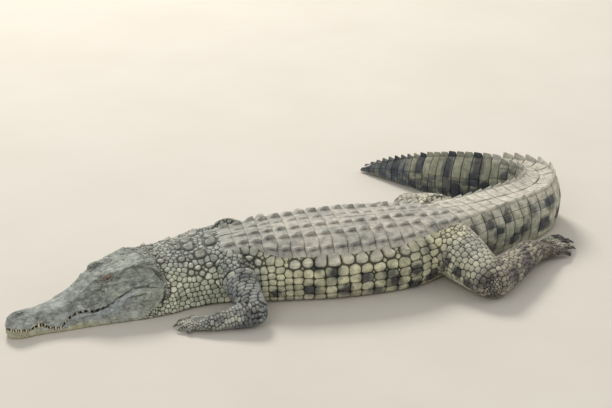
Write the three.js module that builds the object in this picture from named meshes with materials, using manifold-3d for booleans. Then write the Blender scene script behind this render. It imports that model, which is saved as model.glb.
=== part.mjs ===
// A life-size Nile crocodile basking on its belly, as a still display model.
// Millimetres, +Z up, floor at z = 0, head towards -X, the animal's left side towards -Y.
// The origin lies on the floor under the middle of the whole animal.

import * as THREE from 'three';
import { mergeVertices } from 'three/addons/utils/BufferGeometryUtils.js';
import Module from 'manifold-3d';

const wasm = await Module();
wasm.setup();

// Driving lengths, measured along the animal's midline from the tip of the snout.
const TOTAL_LENGTH = 2705;
const JAW_END = 488;
const NECK_END = 716;
const VENT = 1466;
const SKULL_HEADING = 21;
const SNOUT_TIP = { x: -1086.6, y: -202 };
const TAIL_TIP_RADIUS = 3;

// The thin cuts that part the body, and how many lengths and rings it has.
const GAP = 0.4;
const TRUNK_LENGTH = 250;
const RINGS_PER_LENGTH = 5;
const TAIL_LENGTHS = 6;
const MIDLINE_STEP = 2;

// The saw edge of the tail: each whorl of scales stands up at its rear.
const TAIL_WHORL_FIRST = 45;
const TAIL_WHORL_LAST = 24;
const CREST_NOTCH = 9;
const PEAK_SHARE = 0.72;

const EYE = { along: 317, out: 42, up: 125, radius: 15 };

// Teeth that show with the mouth shut; u is measured along the skull.
const TOOTH_ROOT = 4;
const TOOTH_TIP = 0.7;
const TOOTH_SIDES = 4;
const UPPER_TEETH = [
  { u: 14, length: 7, radius: 2 }, { u: 30, length: 8, radius: 2.2 }, { u: 46, length: 9, radius: 2.4 },
  { u: 64, length: 9, radius: 2.6 }, { u: 122, length: 8, radius: 2.4 }, { u: 142, length: 10, radius: 3 },
  { u: 160, length: 11, radius: 3.2 }, { u: 206, length: 8, radius: 2.8 },
];
const LOWER_TEETH = [{ u: 92, length: 13, radius: 3.2, out: -1, rises: true }];

// The joints of each leg from shoulder or hip to knuckles, and the tips of its digits, inner one first.
const LEGS = {
  front_left: {
    joints: [[-385, -105, 116], [-346, -288, 46], [-486, -288, 26], [-536, -258, 17]],
    tips: [[-545, -208, 5], [-578, -222, 6], [-594, -250, 6], [-588, -280, 6], [-560, -304, 5]],
    clawed: 3,
  },
  front_right: {
    joints: [[-362, 110, 118], [-300, 292, 48], [-452, 330, 27], [-508, 306, 17]],
    tips: [[-528, 255, 5], [-562, 276, 6], [-580, 308, 6], [-570, 341, 6], [-538, 365, 5]],
    clawed: 3,
  },
  hind_left: {
    joints: [[322, -70, 104], [404, -264, 58], [600, -74, 54], [690, -10, 28]],
    tips: [[776, 90, 12], [796, 52, 10], [786, 8, 8], [754, -34, 6]],
    clawed: 3,
  },
  hind_right: {
    joints: [[338, 120, 108], [288, 322, 60], [398, 368, 36], [452, 358, 20]],
    tips: [[538, 306, 6], [560, 334, 6], [555, 368, 6], [528, 398, 5]],
    clawed: 3,
  },
};
const FRONT_SHAPE = {
  upper: [[0, 60, 62], [0.35, 54, 56], [0.7, 46, 46], [0.95, 42, 43], [1.12, 30, 30], [1.2, 12, 12]],
  lower: [[-0.14, 26, 26], [0, 40, 40], [0.3, 39, 38], [0.7, 31, 28], [1, 27, 24], [1.1, 14, 14]],
  palm: [[-0.25, 20, 14], [0.05, 28, 20], [0.5, 35, 17], [0.9, 36, 14], [1.12, 20, 8]],
  digitRadius: 10.5,
};
const HIND_SHAPE = {
  upper: [[0, 88, 84], [0.35, 84, 78], [0.7, 72, 66], [0.95, 60, 57], [1.1, 44, 44], [1.2, 18, 18]],
  lower: [[-0.12, 36, 36], [0.02, 58, 57], [0.35, 56, 53], [0.7, 48, 47], [1, 42, 40], [1.1, 22, 22]],
  palm: [[-0.2, 26, 22], [0.05, 40, 36], [0.45, 43, 28], [0.9, 46, 21], [1.15, 26, 11]],
  digitRadius: 14,
};

// Rows of a digit: share of the way to the tip, share of the radius. A claw is the last slim part.
const CLAWED_DIGIT = [[0, 1], [0.4, 1.05], [0.74, 0.8], [0.78, 0.5], [1, 0.1]];
const PLAIN_DIGIT = [[0, 1], [0.45, 0.95], [0.88, 0.6], [1, 0.25]];
const DIGIT_ARCH = 0.1;
const DIGIT_SIDES = 5;
const LIMB_SIDES = 8;

// Digits leave the palm across this share of its half width, from a little behind the knuckles.
const KNUCKLE_SPREAD = 0.72;
const DIGIT_ROOT = 12;

const skinColour = { back: 0xa9a48c, flank: 0x9a9a76, head: 0x7f8474, jaw: 0x8e9a97, limb: 0x6b6d62 };
const EYE_COLOUR = 0x4a3a1c;

const degrees = Math.PI / 180;

// A smooth curve through [place, value] pairs that never overshoots them.
function smoothCurve(pairs) {
  const last = pairs.length - 1;
  const slopes = pairs.slice(1).map((p, i) => (p[1] - pairs[i][1]) / (p[0] - pairs[i][0]));
  const tangents = pairs.map((p, i) => {
    if (i === 0) return slopes[0];
    if (i === last) return slopes[last - 1];
    const before = slopes[i - 1];
    const after = slopes[i];
    if (before * after <= 0) return 0;
    const a = p[0] - pairs[i - 1][0];
    const b = pairs[i + 1][0] - p[0];
    return (3 * (a + b)) / ((2 * b + a) / before + (b + 2 * a) / after);
  });
  return (place) => {
    const at = Math.min(Math.max(place, pairs[0][0]), pairs[last][0]);
    let i = 0;
    while (i < last - 1 && at > pairs[i + 1][0]) i += 1;
    const width = pairs[i + 1][0] - pairs[i][0];
    const t = (at - pairs[i][0]) / width;
    const rise = t * t * (3 - 2 * t);
    const leave = t * (1 - t) * (1 - t) * width * tangents[i];
    const arrive = t * t * (t - 1) * width * tangents[i + 1];
    return pairs[i][1] * (1 - rise) + pairs[i + 1][1] * rise + leave + arrive;
  };
}

// The midline seen from above: its heading in degrees, anticlockwise from +X.
const heading = smoothCurve([
  [0, SKULL_HEADING], [430, SKULL_HEADING], [500, 17], [580, 8], [680, -2], [850, -2], [1050, 0],
  [1250, 7], [1420, 16], [1600, 24], [1760, 24], [1930, 62], [2070, 138], [2170, 152],
  [2300, 137], [2450, 128], [2600, 132], [TOTAL_LENGTH, 132],
]);
const midline = [];
{
  let { x, y } = SNOUT_TIP;
  for (let s = 0; s <= TOTAL_LENGTH; s += MIDLINE_STEP) {
    midline.push([x, y]);
    const turn = heading(s + MIDLINE_STEP / 2) * degrees;
    x += Math.cos(turn) * MIDLINE_STEP;
    y += Math.sin(turn) * MIDLINE_STEP;
  }
}

// A point of the body: s along the midline, out to the animal's left, up from the floor.
function bodyPoint(s, out, up) {
  const at = Math.min(Math.max(s / MIDLINE_STEP, 0), midline.length - 1.001);
  const i = Math.floor(at);
  const t = at - i;
  const turn = heading(s) * degrees;
  const x = midline[i][0] * (1 - t) + midline[i + 1][0] * t + out * Math.sin(turn);
  const y = midline[i][1] * (1 - t) + midline[i + 1][1] * t - out * Math.cos(turn);
  return new THREE.Vector3(x, y, up);
}

// A closed smooth outline through (out, up) points, never lower than floor.
function smoothOutline(points, steps, floor = 0) {
  const count = points.length;
  const outline = [];
  for (let k = 0; k < count * steps; k += 1) {
    const i = Math.floor(k / steps);
    const t = (k % steps) / steps;
    const [p0, p1, p2, p3] = [count - 1, 0, 1, 2].map((n) => points[(i + n) % count]);
    const mix = [0, 1].map((n) => {
      const leave = (p2[n] - p0[n]) / 2;
      const arrive = (p3[n] - p1[n]) / 2;
      const rise = t * t * (3 - 2 * t);
      return p1[n] * (1 - rise) + p2[n] * rise + t * (1 - t) * (1 - t) * leave + t * t * (t - 1) * arrive;
    });
    outline.push([mix[0], Math.max(mix[1], floor)]);
  }
  return outline;
}

// Both sides of a half outline that runs from the top of the midline to its bottom.
function bothSides(half) {
  const other = half.slice(1, -1).reverse().map(([out, up]) => [-out, up]);
  return [...half, ...other];
}

// Trunk, neck and tail: heights and half widths along the midline.
const ridgeHeight = smoothCurve([
  [430, 158], [500, 158], [600, 165], [720, 184], [900, 204], [1100, 213], [1300, 206],
  [1430, 192], [1600, 172], [1800, 163], [1950, 164], [2070, 170], [2140, 184], [2210, 192], [2300, 182],
  [2420, 150], [2540, 106], [2640, 58], [TOTAL_LENGTH, 20],
]);
const crestHeight = smoothCurve([
  [430, 152], [500, 152], [600, 156], [720, 171], [900, 189], [1100, 196], [1300, 190],
  [1430, 182], [1600, 182], [1800, 185], [1950, 188], [2100, 181], [2200, 174], [2300, 160],
  [2540, 86], [TOTAL_LENGTH, 14],
]);
const crestOut = smoothCurve([
  [430, 55], [500, 60], [600, 68], [720, 90], [900, 112], [1100, 118], [1300, 105],
  [1430, 85], [1600, 68], [1800, 58], [1950, 50], [2080, 32], [2200, 10], [2300, 8],
  [2550, 6], [TOTAL_LENGTH, TAIL_TIP_RADIUS - 1],
]);
const flankOut = smoothCurve([
  [430, 118], [500, 138], [600, 132], [720, 138], [900, 165], [1100, 182], [1280, 180],
  [1430, 135], [1600, 110], [1800, 92], [1950, 76], [2080, 60], [2270, 43], [2540, 24],
  [TOTAL_LENGTH, TAIL_TIP_RADIUS],
]);
const flankHeight = smoothCurve([
  [430, 70], [600, 70], [900, 85], [1430, 85], [1800, 78], [2300, 55], [2540, 36], [TOTAL_LENGTH, 10],
]);
const floorOut = smoothCurve([
  [430, 122], [500, 140], [600, 134], [720, 118], [900, 132], [1100, 148], [1280, 142],
  [1430, 100], [1600, 82], [1800, 70], [1950, 58], [2080, 44], [2270, 30], [2540, 16],
  [TOTAL_LENGTH, TAIL_TIP_RADIUS - 1],
]);

// One cross-section of trunk, neck or tail; notch lowers the crest between two tail whorls.
function bodyOutline(s, steps, grow = 0, notch = 0) {
  const ridge = ridgeHeight(s) + grow - notch;
  const crest = crestHeight(s) + grow - notch;
  const edge = crestOut(s) + grow;
  const flank = flankOut(s) + grow;
  const middle = flankHeight(s);
  const back = steps > 1 ? [[edge * 0.55, ridge * 0.6 + crest * 0.4]] : [];
  const belly = steps > 1 ? [[flank * 0.6 + floorOut(s) * 0.4, middle * 0.3]] : [];
  return smoothOutline(bothSides([
    [0, ridge],
    ...back,
    [edge, crest],
    [flank * 0.9 + edge * 0.1, middle + (crest - middle) * 0.45],
    [flank, middle],
    ...belly,
    [floorOut(s) + grow, -grow],
    [0, -grow],
  ]), steps, -grow);
}

// Head: heights and half widths along the skull, from the tip of the snout.
const snoutTop = smoothCurve([
  [0, 46], [15, 63], [50, 72], [100, 74], [150, 76], [200, 88], [250, 110], [290, 129],
  [317, 137], [345, 144], [380, 152], [432, 159], [JAW_END, 158],
]);
const edgeOut = smoothCurve([
  [0, 8], [15, 18], [50, 26], [100, 22], [150, 32], [200, 34], [250, 34], [290, 37],
  [320, 43], [360, 49], [432, 57], [JAW_END, 60],
]);
const edgeHeight = smoothCurve([
  [0, 44], [15, 58], [50, 66], [100, 66], [150, 68], [200, 80], [250, 105], [290, 131],
  [317, 143], [345, 147], [380, 152], [432, 158], [JAW_END, 152],
]);
const lipOut = smoothCurve([
  [0, 12], [15, 30], [45, 43], [80, 42], [103, 38], [130, 55], [150, 61], [190, 62],
  [240, 71], [290, 83], [340, 95], [390, 107], [430, 114], [JAW_END, 124],
]);
const mouthHeight = smoothCurve([
  [0, 31], [30, 30], [58, 26], [78, 31], [98, 31], [120, 20], [150, 17], [163, 24], [176, 37],
  [192, 46], [208, 50], [229, 50], [254, 46], [276, 50], [300, 57], [327, 76], [345, 87],
  [365, 97], [390, 104], [425, 103], [450, 97], [JAW_END, 84],
]);
const jawOut = smoothCurve([
  [0, 12], [15, 28], [45, 39], [100, 44], [150, 59], [200, 70], [250, 81], [300, 95],
  [360, 112], [420, 130], [JAW_END, 142],
]);
const chinOut = smoothCurve([
  [0, 8], [15, 22], [45, 34], [100, 42], [150, 56], [200, 68], [250, 80], [300, 94],
  [360, 112], [420, 126], [JAW_END, 136],
]);

function upperHeadOutline(u, steps) {
  const mouth = mouthHeight(u) + GAP / 2;
  const cheekOut = (edgeOut(u) + lipOut(u)) / 2;
  const cheekUp = (edgeHeight(u) + mouth) / 2;
  const outline = smoothOutline(bothSides([
    [0, snoutTop(u)],
    [edgeOut(u), edgeHeight(u)],
    [cheekOut * 1.04, cheekUp + 3],
    [lipOut(u), mouth + 4],
    [lipOut(u) - 4, mouth],
    [0, mouth],
  ]), steps);
  return outline.map(([out, up]) => [out, Math.max(up, mouth)]);
}

function lowerJawOutline(u, steps) {
  const mouth = mouthHeight(u) - GAP / 2;
  const outline = smoothOutline(bothSides([
    [0, mouth],
    [jawOut(u) - 4, mouth],
    [jawOut(u), mouth - 4],
    [jawOut(u), mouth * 0.4],
    [chinOut(u), 0],
    [0, 0],
  ]), steps);
  return outline.map(([out, up]) => [out, Math.min(up, mouth)]);
}

// A closed solid through rings of equal length; each ring is an array of Vector3.
function loft(rings) {
  const size = rings[0].length;
  const positions = rings.flat().flatMap((p) => [p.x, p.y, p.z]);
  const faces = [];
  for (let r = 0; r < rings.length - 1; r += 1) {
    for (let k = 0; k < size; k += 1) {
      const a = r * size + k;
      const b = r * size + ((k + 1) % size);
      faces.push(a, b, b + size, a, b + size, a + size);
    }
  }
  for (const r of [0, rings.length - 1]) {
    const centre = rings[r].reduce((sum, p) => sum.add(p), new THREE.Vector3()).divideScalar(size);
    const middle = positions.length / 3;
    positions.push(centre.x, centre.y, centre.z);
    for (let k = 0; k < size; k += 1) {
      const a = r * size + k;
      const b = r * size + ((k + 1) % size);
      if (r === 0) faces.push(middle, b, a);
      else faces.push(middle, a, b);
    }
  }
  const geometry = new THREE.BufferGeometry();
  geometry.setAttribute('position', new THREE.Float32BufferAttribute(positions, 3));
  geometry.setIndex(faces);
  return geometry;
}

// three.js geometry to a manifold solid, turned face out if needed, and back.
function toSolid(geometry) {
  const bare = geometry.clone();
  bare.deleteAttribute('normal');
  bare.deleteAttribute('uv');
  const merged = mergeVertices(bare, 0.01);
  const vertProperties = Float32Array.from(merged.attributes.position.array);
  const triVerts = Uint32Array.from(merged.index.array);
  const solid = new wasm.Manifold(new wasm.Mesh({ numProp: 3, vertProperties, triVerts }));
  if (solid.volume() > 0) return solid;
  for (let i = 0; i < triVerts.length; i += 3) {
    [triVerts[i], triVerts[i + 1]] = [triVerts[i + 1], triVerts[i]];
  }
  return new wasm.Manifold(new wasm.Mesh({ numProp: 3, vertProperties, triVerts }));
}

function toGeometry(solid) {
  const pieces = solid.decompose();
  const biggest = pieces.reduce((best, piece) => (piece.volume() > best.volume() ? piece : best));
  const { vertProperties, triVerts, numProp } = biggest.getMesh();
  const positions = [];
  for (let i = 0; i < vertProperties.length; i += numProp) {
    positions.push(vertProperties[i], vertProperties[i + 1], vertProperties[i + 2]);
  }
  const geometry = new THREE.BufferGeometry();
  geometry.setAttribute('position', new THREE.Float32BufferAttribute(positions, 3));
  geometry.setIndex(Array.from(triVerts));
  geometry.computeVertexNormals();
  return geometry;
}

function union(solids) {
  return solids.reduce((sum, solid) => sum.add(solid));
}

const crocodile = new THREE.Group();

function addNode(name, solid, colour, roughness = 0.85) {
  const material = new THREE.MeshStandardMaterial({ color: colour, roughness, metalness: 0 });
  material.name = name;
  const mesh = new THREE.Mesh(toGeometry(solid), material);
  mesh.name = name;
  crocodile.add(mesh);
}

// Neck and trunk: plain lofts between two places on the midline.
function bodyLength(start, end, count, grow = 0) {
  const rings = [];
  for (let i = 0; i <= count; i += 1) {
    let s = start + ((end - start) * i) / count;
    if (i === 0) s -= grow;
    if (i === count) s += grow;
    rings.push(bodyOutline(s, 2, grow).map(([out, up]) => bodyPoint(s, out, up)));
  }
  return toSolid(loft(rings));
}

// Tail: one ring on each whorl's peak and one in the notch behind it.
const tailRings = [];
{
  let s = VENT;
  while (s < TOTAL_LENGTH) {
    const share = (s - VENT) / (TOTAL_LENGTH - VENT);
    const whorl = TAIL_WHORL_FIRST + (TAIL_WHORL_LAST - TAIL_WHORL_FIRST) * share;
    const depth = CREST_NOTCH * Math.min(1, 4 * share, 6 * (1 - share));
    tailRings.push({ s, notch: depth });
    tailRings.push({ s: s + whorl * PEAK_SHARE, notch: 0 });
    s += whorl;
  }
}

function tailLength(start, end, grow = 0) {
  const inside = tailRings.filter((ring) => ring.s > start + 6 && ring.s < end - 6);
  const nearest = (place) => tailRings.reduce((best, ring) => (
    Math.abs(ring.s - place) < Math.abs(best.s - place) ? ring : best
  ));
  const all = [
    { s: start - grow, notch: nearest(start).notch },
    ...inside,
    { s: end + grow, notch: nearest(end).notch },
  ];
  const rings = all.map(({ s, notch }) => {
    const outline = bodyOutline(s, 1, grow, notch);
    return outline.map(([out, up]) => bodyPoint(s, out, up));
  });
  return toSolid(loft(rings));
}

// A limb length: a rounded loft along {x, y, z, wide, high} stations, flat where it meets the floor.
function limbLoft(stations, sides, grow = 0) {
  const points = stations.map((station) => new THREE.Vector3(station.x, station.y, station.z));
  const rings = stations.map((station, i) => {
    const before = points[Math.max(i - 1, 0)];
    const after = points[Math.min(i + 1, points.length - 1)];
    const along = after.clone().sub(before).normalize();
    const side = new THREE.Vector3(0, 0, 1).cross(along).normalize();
    const lift = along.clone().cross(side).normalize();
    const centre = points[i].clone();
    if (i === 0) centre.addScaledVector(along, -grow);
    if (i === stations.length - 1) centre.addScaledVector(along, grow);
    const ring = [];
    for (let k = 0; k < sides; k += 1) {
      const angle = ((k + 0.5) / sides) * 2 * Math.PI;
      const p = centre.clone();
      p.addScaledVector(side, Math.cos(angle) * (station.wide + grow));
      p.addScaledVector(lift, Math.sin(angle) * (station.high + grow));
      p.z = Math.max(p.z, -grow);
      ring.push(p);
    }
    return ring;
  });
  return toSolid(loft(rings));
}

// Stations from one joint to the next; each profile row is [share of the way, half width, half height].
function between(start, end, profile) {
  const direction = new THREE.Vector3().subVectors(end, start);
  return profile.map(([share, wide, high]) => {
    const p = start.clone().addScaledVector(direction, share);
    return { x: p.x, y: p.y, z: p.z, wide, high };
  });
}

// One digit: it arches up a little from the palm and comes down to the floor at its claw.
function digit(base, tip, radius, clawed) {
  const rows = clawed ? CLAWED_DIGIT : PLAIN_DIGIT;
  const span = base.distanceTo(tip);
  const stations = between(base, tip, rows.map(([share, size]) => [share, radius * size, radius * size]));
  stations.forEach((station, i) => {
    station.z += Math.sin(rows[i][0] * Math.PI) * span * DIGIT_ARCH;
  });
  return limbLoft(stations, DIGIT_SIDES);
}

function addLeg(place, names, shape, flesh) {
  const leg = LEGS[place];
  const [root, middle, end, knuckles] = leg.joints.map((joint) => new THREE.Vector3(...joint));
  const upper = (grow) => limbLoft(between(root, middle, shape.upper), LIMB_SIDES, grow);
  const lower = (grow) => limbLoft(between(middle, end, shape.lower), LIMB_SIDES, grow);
  const palm = limbLoft(between(end, knuckles, shape.palm), LIMB_SIDES);
  const forward = new THREE.Vector3().subVectors(knuckles, end).normalize();
  const across = forward.clone().cross(new THREE.Vector3(0, 0, 1)).normalize();
  const spread = Math.sign(new THREE.Vector3(...leg.tips[0]).sub(knuckles).dot(across)) || 1;
  const digits = leg.tips.map((tip, i) => {
    const share = 1 - (2 * i) / (leg.tips.length - 1);
    const base = knuckles.clone().addScaledVector(across, spread * share * shape.palm[3][1] * KNUCKLE_SPREAD);
    base.addScaledVector(forward, -DIGIT_ROOT);
    return digit(base, new THREE.Vector3(...tip), shape.digitRadius, i < leg.clawed);
  });
  const upperSolid = upper(0).subtract(flesh);
  const lowerSolid = lower(0).subtract(upper(GAP)).subtract(flesh);
  const handSolid = union([palm, ...digits]).subtract(lower(GAP)).subtract(upper(GAP)).subtract(flesh);
  const side = place.split('_')[1];
  addNode(`${names[0]}_${side}`, upperSolid, skinColour.limb);
  addNode(`${names[1]}_${side}`, lowerSolid, skinColour.limb);
  addNode(`${names[2]}_${side}`, handSolid, skinColour.limb);
}

// Head and lower jaw, with the eyes in their sockets.
const headStations = [0, 6, 20, 45, 75, 98, 118, 136, 152, 166, 184, 208, 236, 264, 290, 312, 330,
  350, 378, 412, 450, JAW_END - GAP / 2];
const headRings = (outline, steps) => headStations.map((u) => (
  outline(u, steps).map(([out, up]) => bodyPoint(u, out, up))
));

function eyeBall(side, grow) {
  const ball = new THREE.IcosahedronGeometry(EYE.radius + grow, 2);
  const centre = bodyPoint(EYE.along, EYE.out * side, EYE.up);
  ball.translate(centre.x, centre.y, centre.z);
  return toSolid(ball);
}

// A tooth: a slim cone at the edge of the mouth, its root buried in the jaw it grows from.
function tooth({ u, side, length, radius, out = 0, rises = false }, grow) {
  const turn = rises ? 1 : -1;
  const lip = Math.max(lipOut(u), jawOut(u)) + out;
  const root = bodyPoint(u, side * (lip - radius), mouthHeight(u) - turn * TOOTH_ROOT);
  const tip = bodyPoint(u, side * (lip - radius), mouthHeight(u) + turn * (length + grow));
  const ring = (centre, size) => {
    const points = [];
    for (let k = 0; k < TOOTH_SIDES; k += 1) {
      const angle = (k / TOOTH_SIDES) * 2 * Math.PI;
      points.push(new THREE.Vector3(Math.cos(angle) * size, Math.sin(angle) * size, 0).add(centre));
    }
    return points;
  };
  return toSolid(loft([ring(root, radius + grow), ring(tip, TOOTH_TIP + grow)]));
}
const teeth = (rows, grow) => union(rows.flatMap((row) => (
  [1, -1].map((side) => tooth({ ...row, side }, grow))
)));

const upperHead = toSolid(loft(headRings(upperHeadOutline, 2)));
const lowerJaw = toSolid(loft(headRings(lowerJawOutline, 1)));
const headSolid = upperHead.subtract(eyeBall(1, GAP)).subtract(eyeBall(-1, GAP))
  .subtract(teeth(LOWER_TEETH, GAP)).add(teeth(UPPER_TEETH, 0));
addNode('head', headSolid, skinColour.head);
const jawSolid = lowerJaw.subtract(teeth(UPPER_TEETH, GAP)).add(teeth(LOWER_TEETH, 0));
addNode('lower_jaw', jawSolid, skinColour.jaw);
addNode('eye_left', eyeBall(1, 0), EYE_COLOUR, 0.15);
addNode('eye_right', eyeBall(-1, 0), EYE_COLOUR, 0.15);

// Neck, trunk and tail, each parted from the next by a thin cut.
const cuts = [JAW_END, NECK_END, NECK_END + TRUNK_LENGTH, NECK_END + 2 * TRUNK_LENGTH, VENT];
for (let i = 1; i <= TAIL_LENGTHS; i += 1) {
  cuts.push(VENT + ((TOTAL_LENGTH - VENT) * i) / TAIL_LENGTHS);
}
const lengthNames = ['neck', 'trunk_front', 'trunk_middle', 'trunk_rear'];
for (let i = 1; i <= TAIL_LENGTHS; i += 1) lengthNames.push(`tail_${i}`);

function bodyPiece(i, grow) {
  const start = cuts[i] + GAP / 2;
  const end = cuts[i + 1] - GAP / 2;
  if (i >= lengthNames.indexOf('tail_1')) return tailLength(start, end, grow);
  return bodyLength(start, end, RINGS_PER_LENGTH, grow);
}

lengthNames.forEach((name, i) => {
  addNode(name, bodyPiece(i, 0), name === 'neck' ? skinColour.flank : skinColour.back);
});

const fleshNear = (...names) => union(names.map((name) => bodyPiece(lengthNames.indexOf(name), GAP)));
const shoulderFlesh = fleshNear('neck', 'trunk_front', 'trunk_middle');
const hipFlesh = fleshNear('trunk_middle', 'trunk_rear', 'tail_1');
for (const side of ['left', 'right']) {
  addLeg(`front_${side}`, ['upper_arm', 'forearm', 'hand'], FRONT_SHAPE, shoulderFlesh);
  addLeg(`hind_${side}`, ['thigh', 'shank', 'foot'], HIND_SHAPE, hipFlesh);
}

// The origin goes on the floor under the middle of the animal's box.
const model = new THREE.Group();
model.add(crocodile);
const box = new THREE.Box3().setFromObject(crocodile);
const middle = box.getCenter(new THREE.Vector3());
crocodile.position.set(-middle.x, -middle.y, -box.min.z);

export default model;
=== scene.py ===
import math

import bmesh
import bpy
import numpy as np
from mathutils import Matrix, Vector
from mathutils.bvhtree import BVHTree
from mathutils.kdtree import KDTree


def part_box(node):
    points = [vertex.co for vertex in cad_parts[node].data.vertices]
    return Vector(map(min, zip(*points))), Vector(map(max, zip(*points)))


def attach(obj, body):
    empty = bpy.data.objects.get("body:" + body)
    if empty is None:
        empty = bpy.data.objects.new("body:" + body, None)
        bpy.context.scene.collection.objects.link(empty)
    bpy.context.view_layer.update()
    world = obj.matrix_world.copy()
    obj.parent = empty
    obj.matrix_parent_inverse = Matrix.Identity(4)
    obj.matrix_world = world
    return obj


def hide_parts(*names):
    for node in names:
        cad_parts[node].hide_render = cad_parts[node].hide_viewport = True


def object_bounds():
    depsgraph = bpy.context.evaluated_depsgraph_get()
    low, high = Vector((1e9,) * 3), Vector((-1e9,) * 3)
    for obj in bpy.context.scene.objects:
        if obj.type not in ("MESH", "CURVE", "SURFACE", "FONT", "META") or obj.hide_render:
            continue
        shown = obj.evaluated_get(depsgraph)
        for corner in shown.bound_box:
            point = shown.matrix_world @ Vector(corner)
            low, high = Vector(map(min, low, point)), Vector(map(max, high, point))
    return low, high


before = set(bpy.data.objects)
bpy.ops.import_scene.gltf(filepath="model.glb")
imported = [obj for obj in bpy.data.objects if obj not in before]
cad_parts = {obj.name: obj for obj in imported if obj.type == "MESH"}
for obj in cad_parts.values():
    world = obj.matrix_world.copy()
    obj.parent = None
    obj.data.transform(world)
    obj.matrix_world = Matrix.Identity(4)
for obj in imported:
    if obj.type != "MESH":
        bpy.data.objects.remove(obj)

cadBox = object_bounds()
print("frame loaded")
scene = bpy.context.scene
rng = np.random.default_rng(11)

# Shapes are worked out in millimetres: s along the midline from the snout tip, out to the animal's
# left, up from the floor. toWorld turns them into metres in the frame.


def smoothCurve(*pairs):  # a curve through pairs of place and value, which never overshoots them
    x, y = np.array(pairs, float).T
    slope = np.diff(y) / np.diff(x)
    a, b = np.diff(x)[:-1], np.diff(x)[1:]
    before, after = slope[:-1], slope[1:]
    rising = before * after > 0
    first, last = (np.where(rising, part, 1) for part in (before, after))
    lower = np.where(rising, (2 * b + a) / first + (b + 2 * a) / last, 1)
    tangent = np.concatenate([slope[:1], np.where(rising, 3 * (a + b) / lower, 0), slope[-1:]])

    def curve(place):
        at = np.clip(place, x[0], x[-1])
        i = np.clip(np.searchsorted(x, at, side="right") - 1, 0, len(x) - 2)
        width = x[i + 1] - x[i]
        t = (at - x[i]) / width
        rise = t * t * (3 - 2 * t)
        bend = t * (1 - t) ** 2 * tangent[i] + t * t * (t - 1) * tangent[i + 1]
        return y[i] * (1 - rise) + y[i + 1] * rise + bend * width

    return curve


def smoothstep(low, high, value):
    t = np.clip((value - low) / (high - low), 0, 1)
    return t * t * (3 - 2 * t)


def unit(v):
    return v / np.maximum(np.linalg.norm(v, axis=-1, keepdims=True), 1e-9)


def corners(i, seed):  # an even spread of values from whole numbers, the same in each run
    h = i[..., 0] * 374761393 + i[..., 1] * 668265263 + i[..., 2] * 1274126177 + seed * 1013904223
    h = h & 0xFFFFFFFF
    h = ((h ^ (h >> 13)) * 1103515245) & 0xFFFFFFFF
    return ((h ^ (h >> 16)) & 0xFFFF) / 65535


def mottle(points, size, seed=0):  # smooth value noise, 0 to 1
    q = points / size
    base = np.floor(q).astype(np.int64)
    t = q - base
    t = t * t * (3 - 2 * t)
    total = 0
    for k in range(8):
        bits = np.array([k & 1, k >> 1 & 1, k >> 2])
        total = total + np.prod(np.where(bits, t, 1 - t), -1) * corners(base + bits, seed)
    return total


def pointTree(points):
    tree = KDTree(len(points))
    for n, point in enumerate(points):
        tree.insert(point, n)
    tree.balance()
    return tree


# Measures of the whole animal, and the turns of its midline.
length, vent = 2705, 1466
snoutTip = np.array([-1086.6, -202.0])
eye = {"place": (317, 42, 125), "radius": 15}
heading = smoothCurve(
    (0, 21), (430, 21), (500, 17), (580, 8), (680, -2), (850, -2), (1050, 0), (1250, 7), (1420, 16),
    (1600, 24), (1760, 24), (1930, 62), (2070, 138), (2170, 152), (2300, 137), (2450, 128), (2600, 132),
    (2705, 132))
stepLength = 2
places = np.arange(0, length + stepLength, stepLength)
turns = np.radians(heading(places[:-1] + stepLength / 2))
steps = np.stack([np.cos(turns), np.sin(turns)], 1) * stepLength
midline = np.concatenate([[snoutTip], snoutTip + np.cumsum(steps, 0)])


def bodyPoint(s, out, up):
    s, out, up = np.broadcast_arrays(np.asarray(s, float), out, up)
    at = np.clip(s / stepLength, 0, len(midline) - 1.001)
    i = at.astype(int)
    t = (at - i)[..., None]
    base = midline[i] * (1 - t) + midline[i + 1] * t
    turn = np.radians(heading(s))
    return np.stack([base[..., 0] + out * np.sin(turn), base[..., 1] - out * np.cos(turn), up], -1)


eyeBox = np.array(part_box("eye_left"), float)
offset = eyeBox.mean(0) * 1000 - bodyPoint(*eye["place"])
lowest, highest = (np.array(corner, float) for corner in cadBox)
inside = .0003  # metres kept to the solids' own box
floorClear = .4  # lowest height of scales and plates


def toWorld(points):
    return np.clip((np.asarray(points) + offset) / 1000, lowest + inside, highest - inside)


view = {"target": (0, 576, 0), "elevation": 23.62, "azimuth": -12.5, "distance": 6.128, "focal": 102.96,
        "sensor": 36, "farthest": 60}
camera = bpy.data.objects.new("camera", bpy.data.cameras.new("camera"))
scene.collection.objects.link(camera)
e, a = math.radians(view["elevation"]), math.radians(view["azimuth"])
back = Vector((math.sin(a) * math.cos(e), -math.cos(a) * math.cos(e), math.sin(e)))
camera.location = Vector(toWorld(view["target"])) + back * view["distance"]
camera.rotation_euler = back.to_track_quat("Z", "Y").to_euler()
camera.data.lens = view["focal"]
camera.data.sensor_width, camera.data.clip_end = view["sensor"], view["farthest"]
scene.camera = camera


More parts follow.
